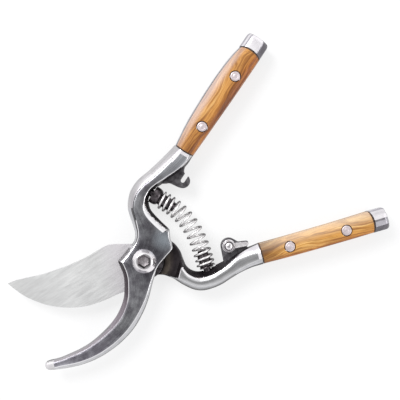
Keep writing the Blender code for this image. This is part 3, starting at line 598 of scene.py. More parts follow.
def soft_prism(outline, z0, z1, r=0.3, steps=3, mats=None):
    """Upright prism whose top and bottom edges are rounded to radius r."""
    outline = ccw(outline)
    rings = []
    levels = []
    for k in range(steps + 1):
        a = math.pi / 2 * k / steps
        levels.append((r * (1 - math.sin(a)), z0 + r * (1 - math.cos(a))))
    for k in range(steps + 1):
        a = math.pi / 2 * k / steps
        levels.append((r * (1 - math.cos(a)), z1 - r * (1 - math.sin(a))))
    for d, z in levels:
        ring = offset(outline, d) if d > 1e-6 else outline
        rings.append([(x, y, z) for x, y in ring])
    return skin(rings, mats=mats)


def smooth_outline(points, sub=8):
    """Closed smooth outline through the given plan points."""
    n = len(points)
    out = []
    for i in range(n):
        p0, p1, p2, p3 = points[i - 1], points[i], points[(i + 1) % n], points[(i + 2) % n]
        for k in range(sub):
            t = k / sub
            out.append(tuple(
                0.5 * (2 * b + (c - a) * t + (2 * a - 5 * b + 4 * c - d) * t * t + (3 * b - a - 3 * c + d) * t ** 3)
                for a, b, c, d in zip(p0, p1, p2, p3)
            ))
    return out


def hull_outline(circles, n=64):
    """Outline round a few circles, as a belt round pulleys."""
    points = []
    for cx, cy, r in circles:
        points += circle(cx, cy, r, n)
    points = sorted(set((round(x, 6), round(y, 6)) for x, y in points))

    def half(seq):
        chain = []
        for p in seq:
            while len(chain) > 1 and (
                (chain[-1][0] - chain[-2][0]) * (p[1] - chain[-2][1])
                - (chain[-1][1] - chain[-2][1]) * (p[0] - chain[-2][0])
            ) <= 1e-9:
                chain.pop()
            chain.append(p)
        return chain[:-1]

    return half(points) + half(points[::-1])


def catmull(rows, sub, corners=()):
    """Smooth rows between the given rows. corners holds (row, columns) where
    those columns turn a sharp corner instead."""
    sharp = dict(corners)
    out = []
    for i in range(len(rows) - 1):
        for k in range(sub):
            t = k / sub
            row = []
            for c in range(len(rows[0])):
                b, d = rows[i][c], rows[i + 1][c]
                a = rows[i - 1][c] if i > 0 and c not in sharp.get(i, ()) else 2 * b - d
                e = rows[i + 2][c] if i + 2 < len(rows) and c not in sharp.get(i + 1, ()) else 2 * d - b
                row.append(0.5 * (2 * b + (d - a) * t + (2 * a - 5 * b + 4 * d - e) * t * t + (3 * b - a - 3 * d + e) * t ** 3))
            out.append(row)
    out.append(list(rows[-1]))
    return out


# ------------------------------------------------------------------ levers
# A lever's row: left rail x, y; right rail x, y; back z, top z; then for the
# left and the right side the draft of its wall, the inset of the flat top and
# the depth of the bevel between them; last the crown of the top.
TOP_STRIPS = 5
STRIPS = (["wall_l"] + ["bevel_l"] * 3 + ["edge_l"] + ["top"] * TOP_STRIPS + ["edge_r"] + ["bevel_r"] * 3 + ["wall_r", "wall_r"]
          + ["bevel_r"] * 3 + ["edge_r", "back", "edge_l"] + ["bevel_l"] * 3 + ["wall_l"])


def rail_normals(rows, reach=2.4, free_start=1.5, free_end=1.0):
    """Inward directions of both rails at every row, turned slowly round corners.
    They fade to the row's own direction at both ends of the lever."""
    result = []
    for column, sign in ((0, 1), (2, -1)):
        pts = [Vector((r[column], r[column + 1])) for r in rows]
        line = []
        for i, p in enumerate(pts):
            total = Vector((0.0, 0.0))
            for k in range(max(0, i - 30), min(len(pts) - 1, i + 30)):
                step = pts[k + 1] - pts[k]
                far = ((pts[k] + pts[k + 1]) / 2 - p).length
                if far < reach:
                    total += Vector((step.y, -step.x)) * sign * (1 - far / reach)
            own = (Vector((rows[i][2], rows[i][3])) - Vector((rows[i][0], rows[i][1]))).normalized() * sign
            share = min(1.0, max(0.0, (i / SUB - free_start) / 1.5), max(0.0, (len(pts) - 1 - i) / SUB / free_end))
            total = total.normalized() if total.length > 1e-6 else own
            line.append((own * (1 - share) + total * share).normalized())
        result.append(line)
    return list(zip(*result))


def lever_ring(row, normals=None, zm=None, edge=0.38, bulge=0.06):
    lx, ly, rx, ry, zb, zt, la, lw, ld, ra, rw, rd, crown = row
    left, right = Vector((lx, ly)), Vector((rx, ry))
    across = (right - left).normalized()
    in_l, in_r = normals or (across, -across)
    zm = (zb + zt) / 2 if zm is None else max((zb + zt) / 2, min(zm, zt - max(ld, rd) - 0.3))

    def half(up):
        """Points of the front (up) or back half, left to right."""
        z_flat = zt if up else zb
        s = 1 if up else -1
        le, re = min(edge, 0.45 * (lw - la)), min(edge, 0.45 * (rw - ra))
        pts = [(left, la, z_flat - s * ld)]
        for t in (1 / 3, 2 / 3):
            pts.append((left, la + (lw - le - la) * t - bulge * ld / 3, z_flat - s * (ld + (0.16 - ld) * t) + s * bulge * (lw - la) / 2))
        pts.append((left, lw - le, z_flat - s * 0.16))
        pts.append((left, lw, z_flat))
        li, ri = left + in_l * lw, right + in_r * rw
        if up:
            for k in range(1, TOP_STRIPS):
                t = k / TOP_STRIPS
                p = li.lerp(ri, t)
                pts.append((p, None, zt + crown * 4 * t * (1 - t)))
        pts.append((right, rw, z_flat))
        pts.append((right, rw - re, z_flat - s * 0.16))
        for t in (2 / 3, 1 / 3):
            pts.append((right, ra + (rw - re - ra) * t - bulge * rd / 3, z_flat - s * (rd + (0.16 - rd) * t) + s * bulge * (rw - ra) / 2))
        pts.append((right, ra, z_flat - s * rd))
        out = []
        for base, inset, z in pts:
            if inset is None:
                out.append((base.x, base.y, z))
            else:
                q = base + (in_l if base is left else in_r) * inset
                out.append((q.x, q.y, z))
        return out

    front, back = half(True), half(False)
    return [(lx, ly, zm)] + front + [(rx, ry, zm)] + back[::-1]


def handle_rows(side):
    if side == "hook":
        return [(59.0, 20.2, 9.2), (74.0, 22.0, 8.7), (96.0, 22.6, 8.1), (112.0, 21.9, 7.8), (121.0, 20.3, 7.7)]
    return [(59.0, -18.6, -7.5), (74.0, -18.9, -7.6), (96.0, -19.0, -7.5), (112.0, -18.9, -7.2), (121.0, -18.7, -6.9)]


def handle_edges(side, x):
    rows = catmull([list(r) for r in handle_rows(side)], 8)
    x = max(rows[0][0], min(rows[-1][0], x))
    for a, b in zip(rows, rows[1:]):
        if x <= b[0] + 1e-9:
            t = (x - a[0]) / (b[0] - a[0])
            return a[1] + (b[1] - a[1]) * t, a[2] + (b[2] - a[2]) * t
    return rows[-1][1], rows[-1][2]


def joint_bend(side, x, y):
    """How far the curved joint faces at both ends of the wood stand along x."""
    outer, inner = handle_edges(side, x)
    t = (y - (outer + inner) / 2) / (abs(outer - inner) / 2)
    bow = max(0.0, 1 - t * t)
    near = max(0.0, 1 - abs(x - 59.2) / 4.0)
    far = max(0.0, 1 - abs(x - 120.9) / 6.5)
    near, far = near * near * (3 - 2 * near), far * far * (3 - 2 * far)
    return bow * ((-0.55 if side == "hook" else 0.25) * near + 1.55 * far)


def bend_joints(bm, side):
    for v in bm.verts:
        if v.co.x > 54.0:
            v.co.x += joint_bend(side, v.co.x, v.co.y)
    return bm


def tang_and_butt(side, end_x):
    rows, kinds = [], []

    def row(x_out, x_in, set_in, zb, zt, draft, wide, deep, crown, kind, skew=0.0):
        outer, inner = handle_edges(side, min(x_out, 121.0))
        sign = 1 if outer > inner else -1
        o, i = (x_out, outer - sign * set_in), (x_in, inner + sign * set_in)
        left, right = (o, i) if side == "hook" else (i, o)
        rows.append([*left, *right, zb, zt, draft, wide + skew, deep, draft, wide - skew, deep, crown])
        kinds.append(kind)

    zl, zh = MID_Z - TANG_HALF, MID_Z + TANG_HALF
    butt_x = BUTT_X[side]
    for x in (59.0, 62.0, 68.0, 74.0, 80.0, 88.0, 96.0, 104.0, 108.0, 112.0, 116.0, butt_x):
        row(x, x, 0.25, zl, zh, 0.05, 0.5, 0.4, 0.0, "tang")
    top = HANDLE_THICK
    row(butt_x, butt_x, 0.0, 0.0, top, 0.1, 3.2, 3.6, 0.12, "butt")
    for k in range(1, 5):
        f = k / 4
        x = butt_x + (end_x - 2.4 - butt_x) * f
        row(x, x, 0.0, 0.2 * f, top - 0.2 * f, 0.1, 3.2, 3.6, 0.12, "butt")
    for k in range(1, 9):
        a = math.pi / 2 * k / 8
        reach = 2.4 * math.sin(a)
        shrink = 1 - math.cos(a)
        row(end_x - 2.4 + reach, end_x - 2.4 + reach * 0.9, 1.9 * shrink, 0.2 + 2.4 * shrink, top - 0.2 - 2.4 * shrink,
            0.1, 3.2 - 0.8 * shrink, 3.4 - 1.4 * shrink, 0.12, "butt")
    return rows, kinds


def flow_uvs(rings):
    """Arc length along the lever and across it, in metres."""
    uvs, s = [], 0.0
    for k, ring in enumerate(rings):
        if k:
            here = sum((Vector(p) for p in ring), Vector()) / len(ring)
            last = sum((Vector(p) for p in rings[k - 1]), Vector()) / len(ring)
            s += (here - last).length
        acc, line = 0.0, []
        for i, p in enumerate(ring):
            line.append((s * MM, acc * MM))
            acc += (Vector(ring[(i + 1) % len(ring)]) - Vector(p)).length
        line.append((s * MM, acc * MM))
        uvs.append(line)
    return uvs


T = HOOK_TOP_Z
#    left x, y      right x, y     back  top      la   lw   ld    ra   rw   rd   crown
HOOK_ROWS = [
    (-73.3, 13.7, -74.9, 11.6, 4.2, T - 1.9, 0.1, 0.5, 1.2, 0.1, 0.5, 1.2, 0.25),
    (-72.6, 13.8, -75.0, 10.7, 3.9, T - 1.2, 0.1, 0.9, 1.9, 0.2, 0.9, 1.7, 0.25),
    (-71.0, 13.2, -74.4, 9.1, 3.5, T - 0.7, 0.1, 1.2, 2.6, 0.3, 1.5, 2.2, 0.20),
    (-66.3, 9.0, -71.0, 5.0, 3.0, T - 0.3, 0.1, 1.5, 3.2, 0.5, 2.3, 2.4, 0.10),
    (-61.6, 5.8, -66.0, -0.2, 2.5, T, 0.1, 1.6, 3.4, 0.5, 2.4, 2.6, 0.10),
    (-56.7, 2.8, -61.4, -4.1, 2.5, T, 0.1, 1.7, 3.5, 0.5, 2.4, 2.6, 0.10),
    (-51.2, 0.2, -56.0, -7.7, 2.0, T, 0.1, 1.9, 3.6, 0.5, 2.4, 2.6, 0.12),
    (-44.6, -1.8, -49.5, -10.8, 2.0, T, 0.1, 2.2, 3.8, 0.5, 2.4, 2.6, 0.12),
    (-37.4, -3.2, -41.6, -13.4, 2.0, T, 0.1, 2.7, 4.1, 0.5, 2.4, 2.6, 0.14),
    (-30.6, -3.4, -32.3, -14.8, 2.0, T, 0.1, 3.0, 4.2, 0.5, 2.5, 2.6, 0.14),
    (-23.1, -1.8, -23.0, -14.2, 2.0, T, 0.1, 2.9, 4.2, 0.5, 2.2, 2.4, 0.14),
    (-17.5, 1.2, -14.8, -12.4, 2.0, T, 0.1, 2.8, 4.2, 0.4, 1.7, 2.2, 0.12),
    (-12.4, 5.2, -6.8, -9.6, 2.0, T, 0.1, 2.7, 4.2, 0.2, 1.2, 2.0, 0.10),
    (-7.9, 11.6, 0.8, -7.9, 2.0, T, 1.2, 2.6, 2.8, 0.2, 1.0, 1.6, 0.08),
    (-2.4, 11.0, 6.7, -8.3, 2.0, T, 1.5, 2.6, 2.3, 0.2, 1.0, 1.4, 0.08),
    (-0.4, 10.8, 12.8, -9.0, 2.0, T, 1.4, 2.5, 2.3, 0.2, 1.0, 1.4, 0.08),
    (1.4, 10.6, 15.2, -7.2, 2.0, T, 1.2, 2.3, 2.3, 0.2, 0.9, 1.6, 0.08),
    (3.1, 10.4, 17.3, -4.6, 2.0, T, 0.9, 2.1, 2.3, 0.2, 0.8, 1.8, 0.08),
    (4.7, 10.35, 20.0, -2.4, 1.8, T, 0.5, 2.0, 2.3, 0.2, 0.8, 2.0, 0.08),
    (6.2, 10.55, 20.9, -1.2, 1.5, T, 0.35, 2.0, 2.4, 1.0, 3.6, 2.4, 0.08),
    (9.2, 12.1, 22.0, 4.9, 1.0, T, 0.2, 2.3, 2.6, 1.2, 3.9, 2.3, 0.08),
    (12.7, 16.2, 23.9, 12.0, 1.0, T, 0.15, 2.8, 2.9, 1.3, 3.7, 2.2, 0.08),
    (17.3, 21.9, 27.5, 15.9, 1.0, T, 0.15, 3.2, 3.0, 1.2, 2.1, 1.7, 0.10),
    (21.8, 24.8, 30.0, 16.5, 1.0, T, 0.15, 3.6, 3.0, 1.2, 1.9, 1.5, 0.10),
    (26.8, 26.4, 32.6, 16.6, 1.0, T, 0.15, 4.1, 3.0, 1.1, 1.8, 1.4, 0.12),
    (33.2, 26.3, 36.0, 15.6, 1.0, T, 0.15, 4.6, 3.0, 1.2, 1.8, 1.4, 0.12),
    (40.8, 24.1, 41.5, 13.1, 1.0, T, 0.15, 4.7, 3.0, 1.3, 2.0, 1.4, 0.12),
    (48.3, 22.3, 47.5, 10.6, 0.8, T + 0.2, 0.15, 4.6, 3.1, 1.2, 1.9, 1.3, 0.12),
    (54.5, 21.0, 53.9, 9.2, 0.3, T + 0.5, 0.15, 4.5, 3.3, 0.8, 1.6, 1.6, 0.10),
    (59.0, 20.2, 59.0, 9.2, 0.0, HANDLE_THICK, 0.1, 4.4, 3.6, 0.2, 2.2, 2.6, 0.05),
]
SUB = 8


def hook_lever_mesh():
    rows = catmull([list(r) for r in HOOK_ROWS], SUB, [(13, (0, 1, 6, 7, 8)), (18, (9, 10)), (19, (9, 10))])
    count = len(rows)
    tail, kinds = tang_and_butt("hook", 129.6)
    normals = rail_normals(rows)
    rings = []
    for i, row in enumerate(rows):
        fade = min(1.0, max(0.0, (i / SUB - 20.0) / 2.0))
        rings.append(lever_ring(row, normals[i], 9.6 * (1 - fade) + 7.6 * fade if i > 2 * SUB else None))
    rings += [lever_ring(r) for r in tail]
    beak = 13 * SUB

    # Each strip takes a lit or shaded copy of the steel: white edges, facets, neck strips, the tip and pale butt faces
    # are painted highlights; dark outlines, the dark neck line and the butt's shaded side are painted shade.
    def pick(ring, strip):
        name = STRIPS[strip]
        if ring >= count - 1:
            if ring == count - 1:
                return SLOT["wall"]
            kind = kinds[ring - count + 1] if ring - count + 1 < len(kinds) else kinds[-1]
            if kind == "tang":
                return SLOT["bevel"]
            if ring > len(rings) - 6:
                if ring < len(rings) - 4 and name in ("top", "back", "edge_l"):
                    return SLOT["butt_painted_highlight"]
                return SLOT["butt_painted_shade"] if name in ("wall_r", "bevel_r", "edge_r") else SLOT["butt"]
            if name in ("wall_r", "bevel_r"):
                return SLOT["butt_painted_shade"]
            if strip in (3, 10, 19, 22):
                return SLOT["butt_grey"]
            if strip in (0, 1, 24, 25):
                return SLOT["butt"]
            return SLOT["facet"] if strip in (2, 23) else SLOT["butt_painted_highlight"]
        if ring < 2.4 * SUB:
            if strip in (0, 1, 24, 25) or ring < 2:
                return SLOT["outer_painted_shade"]
            return SLOT["outer_grey"] if strip in (13, 14, 15, 16) else SLOT["tip"]
        if name in ("top", "back"):
            return SLOT["butt_painted_highlight"] if ring > count - 5 or (strip == 5 and ring > count - 14) else SLOT["top"]
        if name == "edge_l" and ring > 21 * SUB:
            return SLOT["line"] if ring < count - 10 else SLOT["butt_painted_highlight"]
        if name == "edge_l" and ring < 10 * SUB:
            return SLOT["soft_line"]
        if name == "edge_r" and 15 * SUB < ring < 18.5 * SUB:
            return SLOT["neck_grey"]
        if name in ("edge_l", "edge_r"):
            return SLOT["edge"]
        if name == "bevel_l":
            if ring < beak:
                return SLOT["outer_grey"] if strip in (1, 24) and ring < 8 * SUB else SLOT["inner"]
            if ring > 22 * SUB:
                return SLOT["neck_white"] if strip in (3, 22) else SLOT["neck_grey"]
            if strip in (1, 24) and ring < 15.5 * SUB:
                return SLOT["outer_painted_shade"]
            return SLOT["outer_painted_shade"] if strip in (3, 22) and ring > 15.5 * SUB else SLOT["bevel"]
        if name == "wall_l":
            return SLOT["inner"] if ring < beak else (SLOT["outer_painted_shade"] if ring < 16 * SUB else SLOT["outer_grey"])
        if name == "bevel_r":
            if 19 * SUB <= ring < 22.3 * SUB:
                return SLOT["edge"]
            return SLOT["bevel"]
        if name == "wall_r":
            if ring > 19 * SUB:
                return SLOT["wall"]
            return SLOT["outer_painted_shade"] if 4 * SUB < ring < 13 * SUB else SLOT["outer_grey"]
        return SLOT["top"]

    bm = skin(rings, mats=pick, uvs=flow_uvs(rings))
    return bend_joints(bm, "hook")


E, N = EAR_TOP_Z, HOOK_TOP_Z
BLADE_LEVER_ROWS = [
    (5.8, 6.4, 3.6, -8.9, SEAT_BACK_Z, E, 0.1, 0.5, 0.6, 0.1, 0.5, 0.8, 0.0),
    (11.5, 9.0, 7.0, -10.0, 3.4, E, 0.1, 0.5, 0.6, 0.2, 0.7, 1.0, 0.0),
    (16.4, 5.4, 9.2, -11.4, 2.6, E, 0.1, 0.6, 0.8, 0.2, 0.9, 1.2, 0.0),
    (18.9, 0.3, 10.7, -12.6, 1.8, E, 0.2, 0.9, 1.0, 0.3, 1.1, 1.4, 0.0),
    (19.4, -4.6, 11.9, -13.7, 1.2, E + 0.2, 0.8, 1.6, 0.8, 0.3, 1.5, 1.8, 0.0),
    (19.9, -7.9, 13.1, -14.7, 1.0, N, 1.5, 2.6, 0.8, 0.3, 2.3, 2.4, 0.1),
    (20.9, -10.0, 16.2, -18.0, 1.0, N, 2.0, 3.1, 0.8, 0.3, 2.5, 2.4, 0.3),
    (22.6, -11.8, 20.4, -21.5, 1.0, N, 2.5, 3.6, 0.8, 0.3, 2.5, 2.4, 0.4),
    (25.6, -13.2, 25.1, -23.4, 1.0, N, 3.0, 4.0, 0.8, 0.3, 2.5, 2.4, 0.45),
    (30.4, -13.4, 30.6, -23.6, 1.0, N, 3.0, 3.9, 0.8, 0.3, 2.4, 2.4, 0.45),
    (35.0, -12.4, 35.6, -22.9, 1.0, N, 3.1, 3.8, 0.8, 0.3, 2.3, 2.4, 0.42),
    (39.8, -11.4, 40.6, -21.4, 1.0, N, 2.5, 3.3, 0.8, 0.3, 2.3, 2.4, 0.38),
    (45.2, -9.6, 46.4, -19.8, 0.8, N + 0.2, 1.6, 2.8, 1.1, 0.3, 2.4, 2.6, 0.3),
    (52.0, -8.2, 52.6, -18.8, 0.4, N + 0.5, 0.7, 3.5, 1.8, 0.3, 2.8, 2.8, 0.2),
    (59.0, -7.5, 59.0, -18.6, 0.0, HANDLE_THICK, 0.2, 4.5, 2.6, 0.2, 3.4, 3.0, 0.1),
]


def blade_lever_mesh():
    rows = catmull([list(r) for r in BLADE_LEVER_ROWS], SUB, [(4, (5,)), (5, (5,))])
    count = len(rows)
    tail, kinds = tang_and_butt("blade", 127.8)
    normals = rail_normals(rows)
    rings = [lever_ring(r, normals[i]) for i, r in enumerate(rows)] + [lever_ring(r) for r in tail]

    # Each strip takes a lit or shaded copy of the steel: white edges, facets and the pale butt face are painted
    # highlights; dark outer walls and the butt's shaded sides are painted shade; the ear takes the recess steel with
    # its painted shade.
    def pick(ring, strip):
        name = STRIPS[strip]
        if ring >= count - 1:
            if ring == count - 1:
                return SLOT["wall"]
            kind = kinds[ring - count + 1] if ring - count + 1 < len(kinds) else kinds[-1]
            if kind == "tang":
                return SLOT["bevel"]
            if name in ("wall_r", "bevel_r"):
                return SLOT["butt_painted_shade"]
            if ring > len(rings) - 5:
                return SLOT["butt_painted_shade"] if strip in (7, 8, 9, 10, 19, 20) else SLOT["outer_grey"]
            if strip in (0, 1, 24, 25):
                return SLOT["butt"]
            if strip in (2, 3, 4, 21, 22, 23):
                return SLOT["facet"]
            if strip in (5, 6):
                return SLOT["butt_painted_highlight"]
            return SLOT["butt"] if strip == 7 else SLOT["butt_grey"]
        if name in ("bevel_r", "wall_r") and ring >= 2.6 * SUB:
            if name == "wall_r":
                return SLOT["outer_painted_shade"]
            if ring > 11.5 * SUB and strip in (11, 12, 18, 17):
                return SLOT["bevel"]
            return {11: SLOT["bevel"], 12: SLOT["outer_grey"], 13: SLOT["outer_painted_shade"]}.get(strip, SLOT["outer_grey"])
        if ring < 5 * SUB:
            return SLOT["recess"] if name == "top" else SLOT["wall"]
        if name in ("top", "back"):
            return SLOT["butt_painted_highlight"] if ring < 5 * SUB + 1 or ring > count - 4 else SLOT["light_top"]
        if name in ("edge_l", "bevel_l"):
            return SLOT["facet"] if name == "bevel_l" and ring > 11 * SUB else SLOT["edge"]
        if name == "edge_r":
            return SLOT["light_top"]
        return SLOT["wall"]

    bm = skin(rings, mats=pick, uvs=flow_uvs(rings))
    return bend_joints(bm, "blade")


def upright(x, y, down):
    """Turns a part made along +Z to lie along -y (down) or +y at mid height."""
    return Matrix.Translation((x, y, MID_Z)) @ Matrix.Rotation(math.radians(90 if down else -90), 4, "X")


PEG = {"hook": (15.8, 4.4, 13.6, True), "blade": (-12.6, 1.0, 9.6, False)}


def ring_mats(index):
    return lambda *a: index


def helper(name, bm, side, mat):
    """A cutter or a form to join, with the lever's material slots."""
    for f in bm.faces:
        if mat is not None:
            f.material_index = SLOT[mat]
    return finish_mesh(name, bm, FRAMES[side], [M[s] for s in LEVER_SLOTS], smooth=0)


def seat_forms(side):
    base, collar, end, down = PEG[side]
    m = upright(PEG_X[side], base, down)
    seat = placed(turned([(0, -GAP), (4.75, -GAP), (4.75, 12.0), (0, 12.0)], 64), m)
    hole = placed(turned([(0, -3.1), (2.3, -3.1), (2.3, 2.0), (0, 2.0)], 32), m)
    return helper(side + "_seat", seat, side, "wall"), helper(side + "_hole", hole, side, "wall")


def rivet_holes(side):
    return merge(*(prism(circle(x, RIVET_Y[side], RIVET_R + GAP, 40), -2, HANDLE_THICK + 2) for x in RIVET_X[side]))


def make_hook_lever():
    lever = finish_mesh("hook_lever_steel", hook_lever_mesh(), FRAMES["hook"], [M[s] for s in LEVER_SLOTS])
    lug = [
        (38.2, 16.5), (39.2, 13.6), (40.8, 11.6), (41.3, 9.0), (41.7, 6.4), (42.6, 4.2), (44.2, 2.9), (46.2, 2.6),
        (48.0, 3.3), (49.1, 4.6), (49.3, 5.6), (49.6, 7.7), (50.8, 8.9), (53.5, 10.2), (50.0, 13.0), (44.0, 15.5),
    ]
    lug_form = helper("lug", soft_prism(smooth_outline(lug, 6), 4.6, 10.0, 0.5), "hook", "lug")
    slot_y, slot_half, slot_x = 6.5, 1.15, 45.9
    slot = [(56.0, slot_y + slot_half), (56.0, slot_y - slot_half)]
    for i in range(17):
        a = -math.pi / 2 - math.pi * i / 16
        slot.append((slot_x + slot_half * math.cos(a), slot_y + slot_half * math.sin(a)))
    slot_cut = helper("slot", prism(slot, 3.5, 11.0), "hook", "wall")
    under = [(-90.0, 30.0), (-90.0, -30.0), (0.0, -30.0)]
    for i in range(61):
        a = -math.pi / 2 + math.pi * i / 60
        under.append((20.0 * math.cos(a), 20.0 * math.sin(a)))
    under.append((0.0, 30.0))
    under_cut = helper("under", prism(under, -3.0, HOOK_UNDER_Z), "hook", "top")
    bore = helper("bore", prism(circle(0, 0, 4.8, 64), -4, 20), "hook", "wall")
    seat, hole = seat_forms("hook")
    holes = helper("holes", rivet_holes("hook"), "hook", "wall")
    return cut(lever, [
        (lug_form, "UNION"), (slot_cut, "DIFFERENCE"), (under_cut, "DIFFERENCE"), (bore, "DIFFERENCE"),
        (seat, "DIFFERENCE"), (hole, "DIFFERENCE"), (holes, "DIFFERENCE"),
    ])


def make_blade_lever():
    lever = finish_mesh("blade_lever_steel", blade_lever_mesh(), FRAMES["blade"], [M[s] for s in LEVER_SLOTS])
    seat_round = helper("round", prism(hull_outline([(0, 0, 9.8), (*TOE, 5.0)]), SEAT_BACK_Z + 0.05, SEAT_TOP_Z + 1.0), "blade", "top")
    recess = [(-40.0, 20.0), (-40.0, -20.0), (-0.5, -20.0)]
    for i in range(49):
        a = -math.pi / 2 + math.pi * i / 48
        recess.append((10.4 * math.cos(a), 10.4 * math.sin(a)))
    recess.append((-0.5, 20.0))
    recess_cut = helper("recess", prism(recess, SEAT_TOP_Z, 20.0), "blade", "wall")
    profile = [(0, E), (16.3, E), (18.55, N - 0.45), (19.25, N + 0.7), (19.6, N + 2.0), (0, N + 2.0)]
    # The cut floor and its slope take the recess steel with its painted shade; the rim above them takes the near-white
    # edge steel as painted highlight.
    marks = [SLOT["recess"], SLOT["recess"], SLOT["edge"], SLOT["edge"], SLOT["edge"]]
    clear = helper("clear", turned(profile, 128, mats=lambda k: marks[k]), "blade", None)
    lug_form = helper(
        "latch_lug", soft_prism(hull_outline([(*LATCH_AT, 4.3), (42.0, -12.0, 2.6), (52.5, -11.5, 1.6), (54.0, -9.6, 1.0)]), 4.6, 10.0, 0.45),
        "blade", "lug")
    bores = helper("bores", merge(
        prism(circle(0, 0, 4.8, 64), -4, 20), prism(circle(*TOE, 2.2, 32), -4, 20), prism(circle(*LATCH_AT, 1.8, 32), 2.0, 16),
    ), "blade", "wall")
    seat, hole = seat_forms("blade")
    holes = helper("holes", rivet_holes("blade"), "blade", "wall")
    return cut(lever, [
        (seat_round, "UNION"), (recess_cut, "DIFFERENCE"), (clear, "DIFFERENCE"), (lug_form, "UNION"), (bores, "DIFFERENCE"),
        (seat, "DIFFERENCE"), (hole, "DIFFERENCE"), (holes, "DIFFERENCE"),
    ])


hook_lever = make_hook_lever()
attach(hook_lever, "hook_arm")
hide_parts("hook_lever")

blade_lever = make_blade_lever()
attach(blade_lever, "blade_arm")
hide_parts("blade_lever")


# ------------------------------------------------------------------ wood
def scale_mesh(side, front):
    inset_out = 1.2 if side == "hook" else 0.25
    z_flat = MID_Z + TANG_HALF + GAP
    height = HANDLE_THICK - z_flat
    rings = []
    ends = (0.0, 0.1, 0.24, 0.5)
    last = BUTT_X[side] - 0.3
    stations = [59.3 + e for e in ends] + [59.3 + (last - 59.3) * k / 60 for k in range(1, 60)] + [last - e for e in ends[::-1]]
    for x in stations:
        outer, inner = handle_edges(side, x)
        sign = 1 if outer > inner else -1
        outer -= sign * inset_out
        inner += sign * 0.1
        half, mid = (outer - inner) / 2, (outer + inner) / 2
        near_end = min(x - 59.3, last - x)
        drop = 0.18 * max(0.0, 1 - near_end / 0.24) ** 2
        ring = []
        count = 28
        ring.append((x, mid - half, 0.0))
        for k in range(count + 1):
            a = math.pi * (1 - k / count)
            c, s = math.cos(a), math.sin(a)
            f = math.copysign(abs(c) ** 0.72, c)
            h = 0.20 + 0.80 * abs(s) ** 0.62
            ring.append((x, mid + half * f, (height - drop) * h))
        ring.append((x, mid + half, 0.0))
        ring = [(px, py, (z_flat + pz) if front else (HANDLE_THICK - z_flat - pz)) for px, py, pz in ring]
        rings.append(ring)
    bm = skin(rings, mats=lambda ring, strip: 1 if ring < 3 or ring > len(rings) - 5 else 0)
    return bend_joints(bm, side)


def rim_cutter(side, front):
    """Rivet holes, cut straight through the scale."""
    parts = []
    for x in RIVET_X[side]:
        z0, z1 = (HANDLE_THICK - 0.35, HANDLE_THICK + 1) if front else (-1, 0.35)
        parts.append(prism(circle(x, RIVET_Y[side], RIVET_R + 0.42, 64), -2, HANDLE_THICK + 2))
    return merge(*parts)


for side in ("hook", "blade"):
    for front in (True, False):
        label = side + ("_scale_front" if front else "_scale_back")
        obj = finish_mesh(label + "_wood", scale_mesh(side, front), FRAMES[side], [WOODS[side], WOOD_END], 40)
        holes = finish_mesh("holes", rim_cutter(side, front), FRAMES[side], [WOODS[side]], 0)
        cut(obj, [(holes, "DIFFERENCE")], 40)
        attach(obj, BODY[side])
        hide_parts(label)
    for k, x in enumerate(RIVET_X[side], 1):
        label = "%s_rivet_%d" % (side, k)
        r, h = RIVET_R, HANDLE_THICK
        head = [(0, h - 0.02), (1.1, h - 0.03), (1.25, h - 0.10), (1.45, h - 0.10), (1.6, h - 0.04), (2.2, h - 0.08), (2.48, h - 0.22), (r, h - 0.45)]
        profile = [(q, h - z) for q, z in head] + [(q, z) for q, z in head[::-1]]
        bm = placed(turned(profile, 48), Matrix.Translation((x, RIVET_Y[side], 0)))
        obj = finish_mesh(label + "_head", bm, FRAMES[side], [RIVET_MAT], 40)
        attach(obj, BODY[side])
        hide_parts(label)
    base, collar, end, down = PEG[side]
    cr, pr = (4.7 if side == "hook" else 3.7), 3.3
    profile = [
        (0, -2.6), (2.0, -2.6), (2.0, 0), (cr - 0.03, 0), (cr, 0.4 * collar), (cr - 0.08, 0.6 * collar), (cr - 0.3, 0.78 * collar),
        (cr - 0.62, 0.91 * collar), (cr - 1.0, collar),
        (pr + 0.25, collar), (pr, collar + 0.25), (pr, end - 3.2), (pr - 0.15, end - 2.6), (pr - 0.95, end - 0.35), (pr - 1.3, end), (0, end),
    ]
    obj = finish_mesh(side + "_spring_peg_turned", placed(turned(profile, 64), upright(PEG_X[side], base, down)), FRAMES[side], [BLACK], 30)
    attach(obj, BODY[side])
    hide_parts(side + "_spring_peg")

# ------------------------------------------------------------------ blade
BLADE_ROWS = [
    (-72.2, 8.2, -72.0, 7.6),
    (-67.5, 8.7, -69.4, 4.0),
    (-62.3, 8.4, -65.6, -0.6),
    (-56.9, 8.1, -61.0, -4.6),
    (-50.5, 8.0, -54.5, -9.0),
    (-43.3, 8.5, -47.0, -12.2),
    (-36.0, 9.2, -39.0, -14.2),
    (-29.0, 10.3, -31.0, -14.6),
    (-23.4, 11.8, -24.4, -14.0),
    (-19.0, 12.9, -19.0, -13.1),
    (-15.4, 13.2, -14.7, -12.7),
    (-9.5, 11.8, -9.0, -11.8),
    (-4.9, 10.5, -4.2, -10.8),
]


